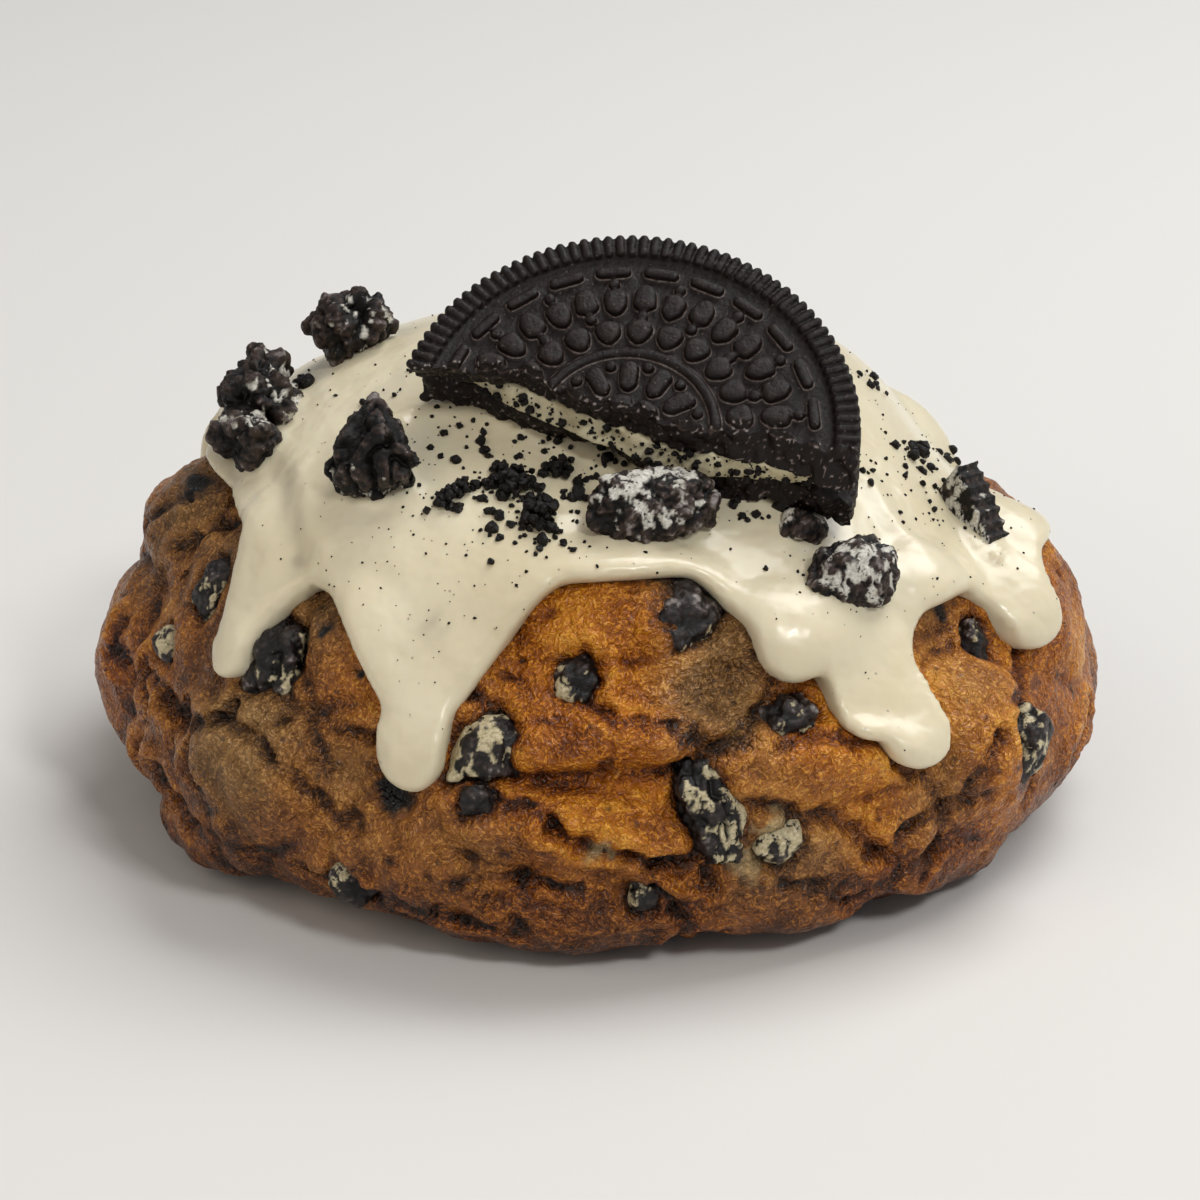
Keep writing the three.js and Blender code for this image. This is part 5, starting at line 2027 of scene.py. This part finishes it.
@dataclass
class Crumbs:
    """Loose crumbs of cocoa biscuit, each a small rough grain set into what it lies on."""

    shapes: int = 8
    grains_per_mm: int = 11  # of a large crumb's size
    torn_grains: int = 260  # tries at the cream's break

    def grains(self, level: int, seed: int) -> list[tuple[Array, Array]]:
        """Rough grains of about 1 mm, as vertices and triangles.

        Args:
            level: How finely each is divided.
            seed: The seed of their noise.

        Returns:
            One pair of vertices and triangles for each shape.
        """
        bpy.ops.mesh.primitive_ico_sphere_add(subdivisions=level, radius=0.5)
        places, faces = form_of(bpy.context.object)
        triangles = np.array(faces)
        made = []
        for i in range(self.shapes):
            noise = Noise(seed + i)
            bump = 1 + 0.45 * noise.waves(places, 0.6, 2) + 0.3 * (noise.pebbles(places, 0.5) - 0.6)
            made.append((places * bump[:, None], triangles))
        return made

    def clump(self, ground: BVHTree, crumb: Sequence[float], rng: np.random.Generator) -> list[Grain]:
        """The grains of one large crumb, heaped on the ground.

        Args:
            ground: The search tree of what it lies on.
            crumb: Its bearing, its polar angle and its size.
            rng: Draws the grains.

        Returns:
            Where each grain lies.
        """
        bearing, polar, size = crumb
        out = directions(bearing, polar)
        grains = []
        for _ in range(int(self.grains_per_mm * size)):
            spot = HEART + out * ABOVE_ALL + np.clip(rng.normal(size=3), -1.7, 1.7) * size * 0.27
            place, normal, _, _ = ground.ray_cast(Vector(spot), Vector(-out))
            near = 1 - min((place - Vector(HEART + out * (place - Vector(HEART)).length)).length / size, 1)
            lift = normal * (size * 0.55 * near * rng.random())
            grains.append((place + lift, normal, rng.uniform(0.45, 1.1) * (0.6 + 0.15 * size)))
        return grains

    def scatter(
        self,
        name: str,
        grounds: Sequence[Grain],
        level: int,
        seed: int,
        material: Material,
    ) -> Piece:
        """Makes one piece of many crumbs.

        Args:
            name: The piece's name.
            grounds: Where each crumb lies, in millimetres.
            level: How finely each crumb is divided.
            seed: The seed of their shapes and turns.
            material: Their finish.

        Returns:
            The piece.
        """
        rng = np.random.default_rng(seed)
        grains = self.grains(level, seed)
        places, faces = [], []
        count = 0
        for i, (place, normal, size) in enumerate(grounds):
            grain, triangles = grains[i % len(grains)]
            turn, _ = np.linalg.qr(rng.normal(size=(3, 3)))
            turn *= np.sign(np.linalg.det(turn))
            stretch = rng.uniform(0.75, 1.2, 3)
            one = (grain * stretch * size) @ turn.T + np.array(place) + np.array(normal) * size * 0.16
            places.append(one)
            faces.append(triangles + count)
            count += len(one)
        piece = mesh_piece(name, np.concatenate(places), np.concatenate(faces))
        paint(piece, "edge", np.full(count, 0.3))
        paint(piece, "cream", np.zeros(count))
        finish_piece(piece, name, "topping_chunk", material)
        piece.data.polygons.foreach_set("use_smooth", [False] * len(piece.data.polygons))
        return piece

    def strew(self, icing: BVHTree, clusters: Sequence[Cluster], seed: int) -> list[Grain]:
        """Finds the ground under clusters of crumbs.

        Args:
            icing: The search tree of the icing, in millimetres.
            clusters: The clusters.
            seed: The seed of their places.

        Returns:
            Where each crumb lies.
        """
        rng = np.random.default_rng(seed)
        found = []
        for cluster in clusters:
            out = directions(cluster.bearing, cluster.polar)
            for _ in range(cluster.count):
                size = cluster.small + (cluster.large - cluster.small) * rng.random() ** 2.2
                spot = HEART + out * ABOVE_ALL + rng.normal(size=3) * cluster.spread * 1.2
                place, normal, _, _ = icing.ray_cast(Vector(spot), Vector(-out))
                if place is not None:
                    found.append((place, normal, size))
        return found

    def build(
        self, icing: Piece, cream: Piece, material: Material
    ) -> list[Piece]:
        """Builds the crumbs on the icing and on the cream layer's break.

        Args:
            icing: The finished icing.
            cream: The finished cream layer.
            material: Their finish.

        Returns:
            The pieces.
        """
        ground, layer = tree_of(icing, MM), tree_of(cream, MM)
        rng = np.random.default_rng(40)
        large = [grain for crumb in LARGE_CRUMBS for grain in self.clump(ground, crumb, rng)]
        pose = biscuit_pose()
        rng = np.random.default_rng(41)
        torn = []
        for _ in range(self.torn_grains):
            start = pose @ Vector((rng.uniform(-17, 18), -4, rng.uniform(-5.4, -3.2)))
            place, normal, _, _ = layer.ray_cast(start, pose.to_3x3() @ Vector((0, 1, 0)), 7)
            if place is not None:
                torn.append((place, normal, 0.15 + 0.75 * rng.random() ** 4))
        return [
            self.scatter("large_crumbs", large, 2, 61, material),
            self.scatter("small_crumbs", self.strew(ground, CRUMB_CLUSTERS, 17), 2, 62, material),
            self.scatter("specks", self.strew(ground, SPECK_CLUSTERS, 18), 1, 63, material),
            self.scatter("cream_crumbs", torn, 2, 64, material),
        ]


# ---- The studio ----


@dataclass(frozen=True)
class Lamp:
    """A soft square lamp that faces the cookie: its place and side in metres, and its power in watts."""

    name: str
    place: tuple[float, float, float]
    size: float
    power: float
    colour: str = "#ffffff"

    def build(self) -> None:
        """Hangs the lamp."""
        data = bpy.data.lights.new(self.name, "AREA")
        data.size = self.size
        data.energy = self.power
        data.color = linear(self.colour)[:3]
        lamp = bpy.data.objects.new(self.name, data)
        lamp.location = self.place
        lamp.rotation_euler = (Vector((0, 0, 0.03)) - lamp.location).to_track_quat("-Z", "Y").to_euler()
        bpy.context.scene.collection.objects.link(lamp)


LAMPS = [
    Lamp("key", (0.36, 0.28, 0.8), 0.6, 6.2),
    Lamp("window", (0.3, -0.46, 0.55), 0.13, 1.7),
    Lamp("fill", (-0.7, -0.6, 0.7), 0.8, 2.2, "#fff0dc"),
]


@dataclass
class Studio:
    """A pale floor, soft light from above and the right, and a camera at the photograph's angle."""

    lens: float = 102.0
    distance: float = 0.3575
    elevation: float = 23.0
    sensor: float = 36.0
    aim: tuple[float, float, float] = (0.000063, -0.000618, 0.0188)
    floor_colour: str = "#dedcd8"
    sky_colour: str = "#f4f6fa"
    sky_strength: float = 0.3

    def build(self) -> None:
        """Builds the floor, the lights and the camera."""
        bpy.ops.mesh.primitive_plane_add(size=6)
        floor = bpy.context.object
        floor.name = "floor"
        material = bpy.data.materials.new("pale_floor")
        material.use_nodes = True
        shader = material.node_tree.nodes["Principled BSDF"].inputs
        shader["Base Color"].default_value = linear(self.floor_colour)
        shader["Roughness"].default_value = 0.9
        shader["Specular IOR Level"].default_value = 0.1
        floor.data.materials.append(material)
        world = bpy.data.worlds.new("soft_studio")
        world.use_nodes = True
        sky = world.node_tree.nodes["Background"].inputs
        sky["Color"].default_value = linear(self.sky_colour)
        sky["Strength"].default_value = self.sky_strength
        bpy.context.scene.world = world
        for lamp in LAMPS:
            lamp.build()
        camera_data = bpy.data.cameras.new("camera")
        camera_data.lens = self.lens
        camera_data.sensor_width = self.sensor
        camera_data.clip_start = 0.01
        camera = bpy.data.objects.new("camera", camera_data)
        slope = math.radians(self.elevation)
        back = Vector((0, -math.cos(slope), math.sin(slope)))
        camera.location = Vector(self.aim) + back * self.distance
        camera.rotation_euler = back.to_track_quat("Z", "Y").to_euler()
        bpy.context.scene.collection.objects.link(camera)
        bpy.context.scene.camera = camera
        bpy.context.scene.view_settings.view_transform = "Standard"


def main() -> None:
    """Builds the cookie piece by piece."""
    logging.basicConfig(level=logging.INFO, format="%(message)s")
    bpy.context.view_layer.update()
    Studio().build()
    dome = Dome()
    biscuit_finish = CocoaBiscuit().make()
    loose_finish = CocoaBiscuit(
        "crumbled_cocoa_biscuit",
        dark="#0a0605",
        pale="#40322b",
        smear_dark="#b3aea2",
        smear_pale="#e0ddd3",
        grain_size=0.3,
    ).make()
    baked_finish = CocoaBiscuit(
        "baked_in_cocoa_biscuit",
        roughness=0.4,
        specular=0.4,
        dark="#0a0606",
        pale="#352b28",
        smear_dark="#a3966f",
        smear_pale="#d9ccaa",
    ).make()
    Dough(dome).build(BakedDough().make())
    icing = Icing(dome).build(PouredIcing().make())
    _, cream, _ = Sandwich().build(biscuit_finish, FillingCream().make())
    BrokenPieces().build(loose_finish, baked_finish)
    Crumbs().build(icing, cream, loose_finish)


if __name__ == "__main__":
    main()
